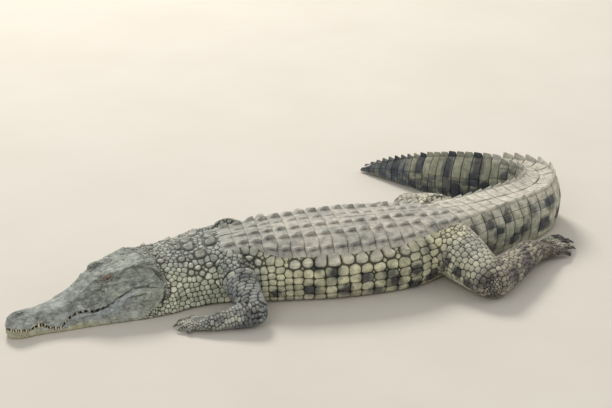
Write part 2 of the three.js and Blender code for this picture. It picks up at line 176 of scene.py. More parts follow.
# Outline of the body from neck to tail tip, and how far the skin lies inside it.
ridgeHeight = smoothCurve(
    (430, 158), (500, 158), (600, 165), (720, 184), (900, 204), (1100, 213), (1300, 206), (1430, 192),
    (1600, 172), (1800, 163), (1950, 164), (2070, 170), (2140, 184), (2210, 192), (2300, 182), (2420, 150),
    (2540, 106), (2640, 58), (2705, 20))
crestHeight = smoothCurve(
    (430, 152), (500, 152), (600, 156), (720, 171), (900, 189), (1100, 196), (1300, 190), (1430, 182),
    (1600, 182), (1800, 185), (1950, 188), (2100, 181), (2200, 174), (2300, 160), (2540, 86), (2705, 14))
crestOut = smoothCurve(
    (430, 55), (500, 60), (600, 68), (720, 90), (900, 112), (1100, 118), (1300, 105), (1430, 85),
    (1600, 68), (1800, 58), (1950, 50), (2080, 32), (2200, 10), (2300, 8), (2550, 6), (2705, 2))
flankOut = smoothCurve(
    (430, 118), (500, 138), (600, 132), (720, 138), (900, 165), (1100, 182), (1280, 180), (1430, 135),
    (1600, 110), (1800, 92), (1950, 76), (2080, 60), (2270, 43), (2540, 24), (2705, 3))
flankHeight = smoothCurve(
    (430, 70), (600, 70), (900, 85), (1430, 85), (1800, 78), (2300, 55), (2540, 36), (2705, 10))
floorOut = smoothCurve(
    (430, 122), (500, 140), (600, 134), (720, 118), (900, 132), (1100, 148), (1280, 142), (1430, 100),
    (1600, 82), (1800, 70), (1950, 58), (2080, 44), (2270, 30), (2540, 16), (2705, 2))
ridgeInset = smoothCurve(
    (430, 1), (500, 3), (600, 6), (720, 8), (1430, 8), (1600, 5), (2000, 6), (2120, 14), (2210, 22),
    (2300, 22), (2500, 17), (2640, 6), (2705, 1))
crestInset = smoothCurve(
    (430, 1), (500, 3), (600, 6), (720, 7), (1300, 7), (1466, 12), (1600, 18), (1950, 20), (2100, 14),
    (2200, 8), (2300, 5), (2540, 4), (2705, 0))
sideInset = smoothCurve((430, 1), (520, 3), (720, 4.5), (2400, 4.5), (2640, 2), (2705, 0))
floorInset, headFloor = 3, 1.5  # lowest height of body and head


def smoothHalf(half, count, floor):  # dense half outlines through their control points, top to bottom
    mirror = np.array([-1, 1])
    padded = np.concatenate([half[:, 1:2] * mirror, half, half[:, -2:-1] * mirror], 1)
    t = (np.arange(count) / count)[None, None, :, None]
    p0, p1, p2, p3 = (padded[:, k:k + half.shape[1] - 1, None] for k in range(4))
    chord = [np.linalg.norm(b - a, axis=-1, keepdims=True) + 1e-6 for a, b in ((p0, p1), (p1, p2), (p2, p3))]
    leave = (p2 - p0) * chord[1] / (chord[0] + chord[1])
    arrive = (p3 - p1) * chord[1] / (chord[1] + chord[2])
    rise = t * t * (3 - 2 * t)
    line = p1 * (1 - rise) + p2 * rise + t * (1 - t) ** 2 * leave + t * t * (t - 1) * arrive
    line = np.concatenate([line.reshape(len(half), -1, 2), half[:, -1:]], 1)
    line[..., 1] = np.maximum(line[..., 1], floor)
    return line


def bodyHalf(s):
    ridge = ridgeHeight(s) - ridgeInset(s)
    crest = crestHeight(s) - crestInset(s)
    edge = np.maximum(crestOut(s) - 1, 1)
    flank = np.maximum(flankOut(s) - sideInset(s), 2.6)
    foot = np.maximum(floorOut(s) - sideInset(s), 2)
    middle = flankHeight(s)
    rows = [
        (0 * s, ridge), (edge * .55, ridge * .6 + crest * .4), (edge, crest),
        (flank * .9 + edge * .1, middle + (crest - middle) * .45), (flank, middle),
        (flank * .6 + foot * .4, middle * .3), (foot, 0 * s + floorInset), (0 * s, 0 * s + floorInset)]
    return np.stack([np.stack(row, -1) for row in rows], 1)


ringStep = 5.0
ringPlaces = np.arange(430, length + 1, ringStep)
ringLines = smoothHalf(bodyHalf(ringPlaces), 9, floorInset)
ringArcs = np.concatenate([
    np.zeros((len(ringPlaces), 1)), np.cumsum(np.linalg.norm(np.diff(ringLines, axis=1), axis=-1), 1)], 1)


def onRing(s):  # the half outline at one place: (out, up) points and their distance from the ridge
    at = min(max((s - ringPlaces[0]) / ringStep, 0), len(ringPlaces) - 1.001)
    i, t = int(at), at - int(at)
    return ringLines[i] * (1 - t) + ringLines[i + 1] * t, ringArcs[i] * (1 - t) + ringArcs[i + 1] * t


def bodySurface(s, arc, side):  # a skin point by its distance from the ridge around one side
    line, arcs = onRing(s)
    return bodyPoint(s, side * np.interp(arc, arcs, line[:, 0]), np.interp(arc, arcs, line[:, 1]))


def arcAtOut(s, out):  # distance from the ridge at which the upper side reaches some out
    line, arcs = onRing(s)
    top = int(np.argmax(line[:, 0]))
    return float(np.interp(out, line[:top + 1, 0], arcs[:top + 1]))


def arcAtUp(s, up):  # distance from the ridge at which the flank comes down to some height
    line, arcs = onRing(s)
    top = int(np.argmax(line[:, 0]))
    return float(np.interp(-up, -line[top // 2:, 1], arcs[top // 2:]))


# Outline of the head.
snoutTop = smoothCurve(
    (0, 46), (15, 63), (50, 72), (100, 74), (150, 76), (200, 88), (250, 110), (290, 129), (317, 137),
    (345, 144), (380, 152), (432, 159), (488, 158))
edgeOut = smoothCurve(
    (0, 8), (15, 18), (50, 26), (100, 22), (150, 32), (200, 34), (250, 34), (290, 37), (320, 43), (360, 49),
    (432, 57), (488, 60))
edgeHeight = smoothCurve(
    (0, 44), (15, 58), (50, 66), (100, 66), (150, 68), (200, 80), (250, 105), (290, 131), (317, 143),
    (345, 147), (380, 152), (432, 158), (488, 152))
lipOut = smoothCurve(
    (0, 12), (15, 30), (45, 43), (80, 42), (103, 38), (130, 55), (150, 61), (190, 62), (240, 71), (290, 83),
    (340, 95), (390, 107), (430, 114), (488, 124))
mouthHeight = smoothCurve(
    (0, 31), (30, 30), (58, 26), (78, 31), (98, 31), (120, 20), (150, 17), (163, 24), (176, 37), (192, 46),
    (208, 50), (229, 50), (254, 46), (276, 50), (300, 57), (327, 76), (345, 87), (365, 97), (390, 104),
    (425, 103), (450, 97), (488, 84))
jawOut = smoothCurve(
    (0, 12), (15, 28), (45, 39), (100, 44), (150, 59), (200, 70), (250, 81), (300, 95), (360, 112),
    (420, 130), (488, 142))
chinOut = smoothCurve(
    (0, 8), (15, 22), (45, 34), (100, 42), (150, 56), (200, 68), (250, 80), (300, 94), (360, 112),
    (420, 126), (488, 136))
mouthDepth = smoothCurve((0, 9), (160, 9), (230, 7), (330, 5), (430, 3.5), (466, 0), (520, 0))
mouthGap = smoothCurve(  # half the height of the slit
    (0, 3.0), (80, 3.6), (145, 3.4), (175, 1.5), (310, 1.2), (360, 1.0), (430, .9), (470, .7))
mouthNotches = {"places": (166, 181, 197, 215, 233, 250, 266, 283, 300, 320), "rise": 4.6, "width": 4.6}


def mouthCentre(s):  # the slit, drawn up between the flesh that covers the tooth roots
    wave = sum(np.exp(-((s - place) / mouthNotches["width"]) ** 2) for place in mouthNotches["places"])
    return mouthHeight(s) + mouthNotches["rise"] * .5 * wave, mouthGap(s) + mouthNotches["rise"] * .5 * wave


def headHalf(u):
    top, mouth = snoutTop(u) - 1, mouthHeight(u)
    edge, edgeUp = edgeOut(u) - .6, edgeHeight(u) - 1
    lip, jaw, chin = lipOut(u) - 1.2, jawOut(u) - 1.2, chinOut(u) - 1.2
    cheekOut, cheekUp = (edge + lip) / 2 * 1.04, (edgeUp + mouth) / 2 + 3
    inner = np.minimum(lip, jaw) - 1.6
    rows = [
        (0 * u, top), (edge * .55, top * .5 + edgeUp * .5 - 1), (edge, edgeUp), (cheekOut, cheekUp),
        (lip, mouth + 8), (lip - .6, mouth + 3), (inner, mouth), (jaw - .8, mouth - 4),
        (jaw, mouth * .45), (chin, 0 * u + headFloor), (0 * u, 0 * u + headFloor)]
    return np.stack([np.stack(row, -1) for row in rows], 1)


def snoutRounding(u):  # narrows the last of the snout to a round end
    return np.sqrt(1 - np.clip((15 - u) / 15.5, 0, 1) ** 2)


headPlaces = np.concatenate([[0, .6, 1.6, 3, 4.6, 6.4, 8.4, 10.6, 12.6], np.arange(14, 522, 1.4)])
headGrid = smoothHalf(headHalf(headPlaces), 14, headFloor)
snoutRound = snoutRounding(headPlaces)[:, None]
headGrid[..., 0] *= snoutRound
headGrid[..., 1] = 34 + (headGrid[..., 1] - 34) * (snoutRound * .75 + .25)
headGrid[..., 1] = np.maximum(headGrid[..., 1], headFloor)


def withPlaces(places, halves):  # (out, up) outlines with their place along the midline in front
    return np.concatenate([np.broadcast_to(places[:, None, None], halves.shape[:2] + (1,)), halves], -1)


headPoints = withPlaces(headPlaces, headGrid)

# Lines pressed into the head, in (s, out, up), with their width, depth, raised rim and painted shade.
# A negative depth is a ridge.
headGrooves = [
    (((350, 62, 136), (362, 60, 142), (376, 58, 147), (392, 59, 149), (416, 66, 149), (446, 79, 142),
      (466, 92, 130)), 2.8, 6.5, 0.75, 0.95),  # ear slit under the skull table
    (((334, 59, 134), (350, 67, 132), (372, 78, 128)), 2.2, 3.4, 0.6, 1.0),
    (((384, 72, 138), (402, 78, 138), (424, 88, 134)), 3, 2, 0.4, 0.3),
    (((458, 84, 140), (466, 98, 124), (471, 112, 108), (472, 124, 92), (466, 134, 68), (448, 134, 46)),
     5, 9, 0.7, 1.0),  # behind the jaw muscle
    (((344, 49, 150), (380, 55, 155), (425, 61, 159), (462, 66, 155)),
     5, -3, 0, 0),  # edge of the skull table
    (((298, 36, 130), (262, 34, 114), (222, 33, 96), (180, 31, 82)),
     7, -2.4, 0, 0),  # ridge in front of the eye
    (((352, 76, 124), (380, 88, 116), (404, 98, 110), (424, 108, 108)), 2.2, 1.8, 0.5, 0.4),
    (((392, 62, 150), (420, 70, 146), (450, 82, 140)), 2.2, 2, 0.5, 0.5),
    (((296, 40, 138), (312, 46, 145), (332, 50, 147), (346, 52, 144)), 4, -2.6, 0.2, 0),
    (((300, 58, 112), (318, 66, 110), (340, 72, 114)), 3, 2.4, 0.5, 0.6),
    (((440, 60, 157), (452, 48, 160), (456, 30, 161), (458, 0, 161)),
     4, 3, 0.4, 0.6),  # back of the skull table
    (((350, 105, 72), (364, 112, 80), (382, 118, 82), (408, 126, 86)), 3.4, 3, 0.6, 0.8),
    (((396, 122, 62), (420, 128, 60), (446, 132, 64)), 4.5, 2, 0.4, 0.4),
    (((226, 42, 80), (250, 50, 90), (276, 57, 103), (294, 60, 112)), 6, 2, 0.3, 0.5),
    (((240, 64, 66), (270, 72, 78), (300, 78, 92), (330, 84, 104)), 6, 1.6, 0.3, 0.35),
    (((330, 76, 112), (356, 84, 116), (384, 94, 118), (410, 104, 118)), 4, 1.6, 0.3, 0.25),
    (((120, 40, 58), (160, 50, 60), (200, 52, 68)), 6, 1.4, 0.2, 0.3),
    (((282, 35, 124), (290, 43, 122), (298, 47, 121)), 2.6, 2.2, 0.3, 0.8),
    (((60, 0, 74), (110, 0, 76), (170, 0, 82), (230, 0, 102)), 9, 2, 0, 0.2),
    (((82, 42, 48), (90, 38, 56), (96, 30, 62)), 7, 3, 0.2, 0.3),
    (((36, 8, 71), (41, 11, 70), (48, 12, 70), (53, 9.5, 72)), 2, 5, 0.45, 1.3),  # nostril
    (((326, 0, 143), (380, 0, 154), (430, 0, 161)), 24, 3, 0, 0.15),
    (((296, 22, 133), (312, 26, 139), (330, 28, 143)), 5, 2, 0.2, 0.45),
    (((420, 92, 128), (440, 104, 118), (452, 116, 104)), 5, 1.8, 0.4, 0.35),
]
headLumps = [  # middle, size each way, height
    ((44, 0, 73), (20, 17, 12), 5),  # nostril mound
    ((320, 37, 146), (26, 10, 9), 6.5),  # bony upper lid
    ((270, 33, 117), (30, 8, 12), 3.2),
    ((398, 67, 136), (30, 10, 8), 4.5),  # ear flap
    ((440, 110, 114), (32, 22, 20), 7.5),  # jaw muscle
    ((446, 130, 62), (32, 20, 32), 5),
    ((150, 56, 44), (24, 14, 18), 3),
    ((206, 62, 66), (20, 12, 12), 2),
    ((430, 57, 158), (24, 10, 9), 6),
    ((300, 74, 80), (24, 12, 10), 2.5),
    ((360, 88, 112), (26, 12, 10), 2.5),
]
upperTeeth = [  # place along the snout, length, radius
    (9, 10, 2.4), (20, 12, 2.8), (33, 14, 3.3), (48, 12, 3.1), (63, 10, 2.7), (110, 8, 2.4), (123, 10, 2.8),
    (137, 13, 3.4), (152, 15, 3.8), (168, 7, 2.6), (188, 5, 2.4), (206, 11, 3.6), (224, 4, 2.4),
    (243, 4, 2.2)]
lowerTeeth = [
    (14, 8, 2.4), (27, 10, 2.6), (41, 6, 2.2), (56, 8, 2.4), (76, 6, 2.2), (89, 21, 4.2), (101, 8, 2.5),
              (116, 6, 2.2), (130, 8, 2.4), (145, 6, 2.2), (177, 6, 2.2)]


def distanceTo(points, line):  # from each point to a bent line, all in the same three numbers
    line = np.array(line, float)
    best = np.full(points.shape[:-1], 1e9)
    for a, b in zip(line[:-1], line[1:]):
        t = np.clip(((points - a) @ (b - a)) / max((b - a) @ (b - a), 1e-9), 0, 1)
        best = np.minimum(best, np.linalg.norm(points - a - t[..., None] * (b - a), axis=-1))
    return best


def outward(points):
    normal = unit(np.cross(np.gradient(points, axis=1), np.gradient(points, axis=0)))
    return normal * np.sign(normal[len(points) // 2, 0, 2])


headNormal = outward(headPoints)
headTreePoints = headPoints.reshape(-1, 3)


def onHead(spot):  # the nearest place on the head's surface
    return headTreePoints[np.argmin(((headTreePoints - spot) ** 2).sum(1))]


push, grooveShade = np.zeros(headPoints.shape[:2]), np.zeros(headPoints.shape[:2])
for line, width, depth, rim, shadeAmount in headGrooves:
    line = np.array(line, float)
    dense = [a + (b - a) * k / 5 for a, b in zip(line[:-1], line[1:]) for k in range(5)] + [line[-1]]
    d = distanceTo(headPoints, [onHead(spot) for spot in dense]) / width
    push += depth * (rim * np.exp(-((d - 1.9) / .8) ** 2) - np.exp(-d * d))
    # painted shade along each groove, darkest in its middle
    grooveShade = np.maximum(grooveShade, shadeAmount * np.exp(-(d * 1.15) ** 2))
for middle, size, height in headLumps:
    d = np.linalg.norm((headPoints - onHead(np.array(middle, float))) / size, axis=-1)
    push += height * np.exp(-d * d * 1.4)
for u, _, radius in upperTeeth:
    gum = (u, float(lipOut(u)), float(mouthHeight(u)) + 8)
    d = np.linalg.norm((headPoints - gum) / (6, 7, 8), axis=-1)
    push += radius * .5 * np.exp(-d * d)
folds = mottle(headPoints * (.35, 1, 1), 9, 3)  # loose skin runs along the head
wrinkle = smoothstep(.09, 0, np.abs(folds - .5)) * smoothstep(120, 260, headPoints[..., 0])
push += (mottle(headPoints, 18, 6) - .5) * 2.4 - 2 * wrinkle
# painted shade in the wrinkles of the loose skin
grooveShade = np.maximum(grooveShade, .45 * wrinkle)
push += (mottle(headPoints, 7, 4) - .5) * 2
push *= smoothstep(0, 6, headPlaces)[:, None] * smoothstep(floorInset, 14, headPoints[..., 2])
headPoints = headPoints + headNormal * push[..., None]

# Eyelids: the skin is drawn over the eyeball, and opens in a slanting almond.
lids = {
    "facing": (-.05, .84, .54), "along": (.92, .24, .30), "halfLength": 16, "halfHeight": 3.0, "rim": 18.6}
facing = unit(np.array(lids["facing"]))
lidAlong = unit(np.array(lids["along"]) - facing * (np.array(lids["along"]) @ facing))
lidUp = np.cross(facing, lidAlong)
lidUp = lidUp * np.sign(lidUp[2])
fromEye = headPoints - np.array(eye["place"], float)
reach = np.linalg.norm(fromEye, axis=-1)
across, rise, toward = fromEye @ lidAlong, fromEye @ lidUp, fromEye @ facing
halfOpen = lids["halfHeight"] * np.clip(1 - (across / lids["halfLength"]) ** 2, 0, 1)
past = np.abs(across) - lids["halfLength"]
beyond = np.where(past < 0, np.abs(rise) - halfOpen, np.hypot(past, rise))
lidRadius = 12 + (lids["rim"] - 12) * smoothstep(-1, 1.1, beyond) + 1.6 * np.exp(-((beyond - 2.8) / 1.6) ** 2)
lidRadius += np.where(rise > 0, 3.0, .6) * smoothstep(0, 3, beyond) - 3.2 * np.exp(-((beyond - 7) / 1.5) ** 2)
lidShare = smoothstep(13.5, 8, beyond) * (toward > 0) * smoothstep(30, 24, reach)
newReach = reach * (1 - lidShare) + lidRadius * lidShare
headPoints = np.array(eye["place"], float) + fromEye * (newReach / np.maximum(reach, 1e-6))[..., None]
headTree = pointTree(headPoints.reshape(-1, 3))
print("head sculpted", headPoints.shape[:2])


def grooveShadeAt(spots):  # painted shade held in the head's grooves and wrinkles
    held = np.zeros(len(spots))
    flat = grooveShade.ravel()
    for n in np.nonzero(spots[:, 0] < 515)[0]:
        held[n] = flat[headTree.find(spots[n])[1]]
    return held


def makeMesh(name, points, *faceGroups):
    mesh = bpy.data.meshes.new(name)
    mesh.vertices.add(len(points))
    mesh.vertices.foreach_set("co", np.asarray(points, np.float32).ravel())
    loops = np.concatenate([group.ravel() for group in faceGroups]).astype(np.int32)
    sizes = np.concatenate([np.full(len(group), group.shape[1]) for group in faceGroups])
    mesh.loops.add(len(loops))
    mesh.loops.foreach_set("vertex_index", loops)
    mesh.polygons.add(len(sizes))
    mesh.polygons.foreach_set("loop_start", np.concatenate([[0], np.cumsum(sizes)[:-1]]).astype(np.int32))
    mesh.update(calc_edges=True)
    mesh.polygons.foreach_set("use_smooth", np.ones(len(sizes), bool))
    return mesh


def addObject(name, mesh):
    piece = bpy.data.objects.new(name, mesh)
    scene.collection.objects.link(piece)
    return piece


def ringQuads(grid):  # faces between closed loops, from the numbers of their points
    a, b = grid[:-1], grid[1:]
    return np.stack([a, np.roll(a, -1, 1), np.roll(b, -1, 1), b], -1).reshape(-1, 4)


def sheetQuads(grid):  # faces of an open sheet
    return np.stack([grid[:-1, :-1], grid[1:, :-1], grid[1:, 1:], grid[:-1, 1:]], -1).reshape(-1, 4)


def tube(rings):  # closed loops of points joined into a closed body, as points, quads and end triangles
    count, size = rings.shape[:2]
    grid = np.arange(count * size).reshape(count, size)
    quads = ringQuads(grid)
    points = np.concatenate([rings.reshape(-1, 3), rings[0].mean(0)[None], rings[-1].mean(0)[None]])
    first, last = grid[0], grid[-1]
    ends = np.concatenate([
        np.stack([np.full(size, count * size), np.roll(first, -1), first], -1),
        np.stack([np.full(size, count * size + 1), last, np.roll(last, -1)], -1)])
    return points, quads, ends


def bothSides(half):  # half loops in (s, out, up) to whole loops
    other = half[:, -2:0:-1] * np.array([1, -1, 1])
    return np.concatenate([half, other], 1)


def joinTubes(tubes):
    points, quads, ends, start = [], [], [], 0
    for p, q, e in tubes:
        points.append(p)
        quads.append(q + start)
        ends.append(e + start)
        start += len(p)
    return np.concatenate(points), np.concatenate(quads), np.concatenate(ends)


def solidMesh(name, tubes):
    points, quads, ends = joinTubes(tubes)
    return makeMesh(name, toWorld(points), quads, ends)


headLoops = bothSides(headPoints)
headTube = tube(bodyPoint(headLoops[..., 0], headLoops[..., 1], headLoops[..., 2]))
behind = ringPlaces >= 475
trunkLoops = bothSides(withPlaces(ringPlaces[behind], ringLines[behind]))
trunkTube = tube(bodyPoint(trunkLoops[..., 0], trunkLoops[..., 1], trunkLoops[..., 2]))

# Joints of each leg and tips of its digits, in the same flat millimetres as the midline.
legs = {
    "front_left": {
        "joints": ((-385, -105, 116), (-346, -288, 46), (-486, -288, 26), (-536, -258, 17)),
        "tips": ((-545, -208, 5), (-578, -222, 6), (-594, -250, 6), (-588, -280, 6), (-560, -304, 5))},
    "front_right": {
        "joints": ((-362, 110, 118), (-300, 292, 48), (-452, 330, 27), (-508, 306, 17)),
        "tips": ((-528, 255, 5), (-562, 276, 6), (-580, 308, 6), (-570, 341, 6), (-538, 365, 5))},
    "hind_left": {
        "joints": ((322, -70, 104), (404, -264, 58), (600, -74, 54), (690, -10, 28)),
        "tips": ((776, 90, 12), (796, 52, 10), (786, 8, 8), (754, -34, 6))},
    "hind_right": {
        "joints": ((338, 120, 108), (288, 322, 60), (398, 368, 36), (452, 358, 20)),
        "tips": ((538, 306, 6), (560, 334, 6), (555, 368, 6), (528, 398, 5))},
}
legShapes = {
    "front": {
        "upper": ((0, 60, 62), (.35, 54, 56), (.7, 46, 46), (.95, 42, 43), (1.12, 30, 30), (1.2, 12, 12)),
        "lower": ((-.14, 26, 26), (0, 40, 40), (.3, 39, 38), (.7, 31, 28), (1, 27, 24), (1.1, 14, 14)),
        "palm": ((-.25, 20, 14), (.05, 28, 20), (.5, 35, 17), (.9, 36, 14), (1.12, 20, 8)), "digit": 10.5},
    "hind": {
        "upper": ((0, 88, 84), (.35, 84, 78), (.7, 72, 66), (.95, 60, 57), (1.1, 44, 44), (1.2, 18, 18)),
        "lower": ((-.12, 36, 36), (.02, 58, 57), (.35, 56, 53), (.7, 48, 47), (1, 42, 40), (1.1, 22, 22)),
        "palm": ((-.2, 26, 22), (.05, 40, 36), (.45, 43, 28), (.8, 44, 21), (1.02, 26, 11)), "digit": 14},
}
digitRows = {True: ((0, 1), (.22, .9), (.4, 1.06), (.58, .86), (.74, .84), (.84, .45)),
             False: ((0, 1), (.25, .88), (.45, .98), (.68, .72), (.88, .6), (1, .25))}
legInset, knuckleSpread, digitRoot, digitArch = 2.5, .72, 12, .1


def limbAxes(along):
    side = unit(np.cross(np.broadcast_to([0, 0, 1.0], along.shape), along))
    return side, np.cross(along, side)


def limbTube(centres, wide, high, sides=26):
    before = np.concatenate([centres[:1], centres[:-1]])
    after = np.concatenate([centres[1:], centres[-1:]])
    side, lift = limbAxes(unit(after - before))
    angle = (np.arange(sides) / sides * 2 * np.pi)[None, :, None]
    rings = centres[:, None] + side[:, None] * np.cos(angle) * wide[:, None, None]
    rings = rings + lift[:, None] * np.sin(angle) * high[:, None, None]
    rings[..., 2] = np.maximum(rings[..., 2], floorInset)
    return tube(rings)


def profileTube(start, end, profile, count=22):
    rows = np.array(profile, float)
    share = np.linspace(rows[0, 0], rows[-1, 0], count)
    wide, high = (smoothCurve(*zip(rows[:, 0], rows[:, k]))(share) - legInset for k in (1, 2))
    return limbTube(start + (end - start) * share[:, None], wide, high)


bones, claws, limbTubes = [], [], []
for place, leg in legs.items():
    kind = place.split("_")[0]
    shape = legShapes[kind]
    root, middle, end, knuckles = np.array(leg["joints"], float)
    for part, a, b in (("upper", root, middle), ("lower", middle, end), ("palm", end, knuckles)):
        limbTubes.append(profileTube(a, b, shape[part]))
        radius = smoothCurve(*((row[0], (row[1] + row[2]) / 2) for row in shape[part]))
        bones.append({"leg": place, "part": part, "a": a, "b": b, "radius": radius})
    forward = unit(knuckles - end)
    spreadWay = unit(np.cross(forward, [0, 0, 1.0]))
    tips = np.array(leg["tips"], float)
    turn = np.sign((tips[0] - knuckles) @ spreadWay)
    roots = []
    for i, tip in enumerate(tips):
        clawed = i < 3
        share = 1 - 2 * i / (len(tips) - 1)
        base = knuckles + spreadWay * turn * share * shape["palm"][3][1] * knuckleSpread - forward * digitRoot
        rows = np.array(digitRows[clawed], float)
        along = np.linspace(0, rows[-1, 0], 16)
        size = smoothCurve(*rows)(along) * shape["digit"] - legInset * .5
        size = size * (1 - .16 * smoothstep(.15, .5, along))
        centres = base + (tip - base) * along[:, None]
        centres[:, 2] += np.sin(along * math.pi) * np.linalg.norm(tip - base) * digitArch
        limbTubes.append(limbTube(centres, size, size, 14))
        bones.append({"leg": place, "part": "digit", "a": base, "b": tip,
                      "radius": lambda share, r=shape["digit"]: r * (1.02 - .25 * np.clip(share, 0, 1))})
        if clawed:
            claws.append({"base": centres[-2], "tip": tip, "radius": size[-3] * .62})
        roots.append((base, tip))
    if kind == "hind":  # webs between the toes
        for (b0, t0), (b1, t1) in zip(roots[:-1], roots[1:]):
            along = np.linspace(0, .24, 10)
            centres = (b0 + b1) / 2 + ((t0 + t1) / 2 - (b0 + b1) / 2) * along[:, None]
            limbTubes.append(limbTube(centres, np.linspace(14, 9, 10), np.linspace(7, 3.2, 10), 14))
print("legs laid out", len(limbTubes))

# One closed skin is made from all these bodies.
skinShape = {"voxel": .0042, "smoothing": 6, "joining": 22, "headTo": 512, "mouthTo": 470}
source = addObject("skinSource", solidMesh("skinSource", [headTube, trunkTube] + limbTubes))
remesh = source.modifiers.new("remesh", "REMESH")
remesh.mode, remesh.voxel_size, remesh.adaptivity = "VOXEL", skinShape["voxel"], 0
skinMesh = bpy.data.meshes.new_from_object(source.evaluated_get(bpy.context.evaluated_depsgraph_get()))
bpy.data.objects.remove(source)
print("skin joined", len(skinMesh.vertices))

coarse = 4  # every fourth place is enough to find the nearest one
coarseMidline = midline[::coarse]
footBones = np.array([bone["part"] in ("palm", "digit") for bone in bones])
upperBones = np.array([bone["part"] == "upper" for bone in bones])
legNames = list(legs)


def describe(points):  # place on the animal of points in millimetres
    about = {"point": points}
    where, batch = np.zeros(len(points), int), 20000
    for start in range(0, len(points), batch):
        away = points[start:start + batch, None, :2] - coarseMidline[None]
        where[start:start + batch] = (away ** 2).sum(-1).argmin(1)
    s = where * float(coarse) * stepLength
    for _ in range(2):
        turn = np.radians(heading(s))
        at = np.clip(s / stepLength, 0, len(midline) - 1.001)
        i = at.astype(int)
        base = midline[i] + (midline[i + 1] - midline[i]) * (at - i)[:, None]
        away = points[:, :2] - base
        s = s + away[:, 0] * np.cos(turn) + away[:, 1] * np.sin(turn)
    about["s"] = s
    about["out"] = away[:, 0] * np.sin(turn) - away[:, 1] * np.cos(turn)
    about["up"] = points[:, 2]
    nearest = np.full(len(points), 9.0)
    about["leg"], about["bone"] = np.full(len(points), -1), np.full(len(points), -1)
    about["share"], about["angle"] = np.zeros(len(points)), np.zeros(len(points))
    for n, bone in enumerate(bones):
        a, b = bone["a"], bone["b"]
        axis = unit(b - a)
        share = ((points - a) @ axis) / np.linalg.norm(b - a)
        held = np.clip(share, 0, 1.05)
        off = points - a - held[:, None] * (b - a)
        ratio = np.linalg.norm(off, axis=-1) / bone["radius"](held)
        hit = ratio < nearest
        side, lift = limbAxes(axis)
        nearest = np.where(hit, ratio, nearest)
        about["leg"][hit] = legNames.index(bone["leg"])
        about["bone"][hit] = n
        about["share"][hit] = share[hit]
        about["angle"][hit] = np.arctan2(off[hit] @ lift, off[hit] @ side)
    about["limb"] = smoothstep(1.3, 1.14, nearest) * (np.abs(about["out"]) > flankOut(s) * .8)
    about["limb"] *= np.where(upperBones[about["bone"]], smoothstep(.16, .42, about["share"]), 1)
    about["near"] = nearest
    return about


# Finer faces where the eye looks closest: head, hands and feet, then lids, lips and nostrils.
def headAndFeet(about):
    return (about["s"] < 508) | (footBones[about["bone"]] & (about["near"] < 1.6))


def lidsAndLips(about):
    spot = np.stack([about["s"], np.abs(about["out"]), about["up"]], 1)
    fine = np.linalg.norm(spot - np.array(eye["place"]) - (0, 6, 6), axis=1) < 27
    fine |= (about["s"] < 60) & (about["up"] > 60) & (spot[:, 1] < 18)
    lipLine = np.abs(about["up"] - mouthHeight(about["s"])) < 7
    return fine | lipLine & (about["s"] < 450) & (spot[:, 1] > lipOut(about["s"]) - 14)


sculpt = bmesh.new()
sculpt.from_mesh(skinMesh)
for choose in (headAndFeet, lidsAndLips):
    sculpt.verts.ensure_lookup_table()
    fine = choose(describe(np.array([v.co for v in sculpt.verts]) * 1000 - offset))
    edges = [e for e in sculpt.edges if fine[e.verts[0].index] and fine[e.verts[1].index]]
    bmesh.ops.subdivide_edges(sculpt, edges=edges, cuts=1, use_grid_fill=True)
bmesh.ops.triangulate(sculpt, faces=[f for f in sculpt.faces if len(f.verts) > 4])
sculpt.to_mesh(skinMesh)
sculpt.free()
print("skin refined", len(skinMesh.vertices), len(skinMesh.polygons))


def readVertices(mesh, what):
    values = np.empty(len(mesh.vertices) * 3, np.float32)
    mesh.vertices.foreach_get(what, values)
    return values.reshape(-1, 3)


# The skin is evened out, most where a leg joins the body and least on the digits.
skinPoints = readVertices(skinMesh, "co").astype(float) * 1000 - offset
edges = np.empty(len(skinMesh.edges) * 2, np.int32)
skinMesh.edges.foreach_get("vertices", edges)
edges = edges.reshape(-1, 2)
about = describe(skinPoints)
degree = np.bincount(edges.ravel(), minlength=len(skinPoints))[:, None]
onDigit = footBones[about["bone"]] & (about["near"] < 1.5)
joining = smoothstep(1.0, 1.12, about["near"]) * smoothstep(1.7, 1.25, about["near"]) * ~onDigit
amount = np.where(onDigit, .3, .5)
for turnCount in range(skinShape["smoothing"] + skinShape["joining"]):
    total = np.zeros_like(skinPoints)
    for k in range(3):
        total[:, k] = np.bincount(edges[:, 0], skinPoints[edges[:, 1], k], len(skinPoints))
        total[:, k] += np.bincount(edges[:, 1], skinPoints[edges[:, 0], k], len(skinPoints))
    pull = amount if turnCount < skinShape["smoothing"] else joining * .5
    if turnCount >= 2:
        pull = np.where(onDigit, 0, pull)
    skinPoints += (total / degree - skinPoints) * pull[:, None]
skinPoints[:, 2] = np.maximum(skinPoints[:, 2], headFloor)

# The head's faces are laid on the sculpted head.
headFaces = BVHTree.FromPolygons(headTube[0].tolist(), headTube[1].tolist() + headTube[2].tolist())
for i in np.nonzero(about["s"] < skinShape["headTo"])[0]:
    if about["near"][i] < 1.3:
        continue
    spot, _, _, distance = headFaces.find_nearest(Vector(skinPoints[i]))
    share = float(smoothstep(511, 486, about["s"][i]) * smoothstep(16, 9, distance))
    skinPoints[i] += (np.array(spot) - skinPoints[i]) * share

# Then the mouth is pressed in.
about = describe(skinPoints)
s, out, up = about["s"], about["out"], about["up"]
centre, gap = mouthCentre(s)
inSlit = smoothstep(1.25, .7, np.abs(up - centre) / gap) * (s < skinShape["mouthTo"])
hub = np.stack([np.maximum(s, 26), out * 0, up], 1)
inward = unit(hub - np.stack([s, out, up], 1)) * (inSlit * mouthDepth(s))[:, None]
skinPoints = bodyPoint(s + inward[:, 0], out + inward[:, 1], up)
skinPoints[:, 2] = np.maximum(skinPoints[:, 2], headFloor)
skinMesh.vertices.foreach_set("co", toWorld(skinPoints).astype(np.float32).ravel())
skinMesh.update()
skinMesh.polygons.foreach_set("use_smooth", np.ones(len(skinMesh.polygons), bool))
about = describe(skinPoints)
print("skin shaped")
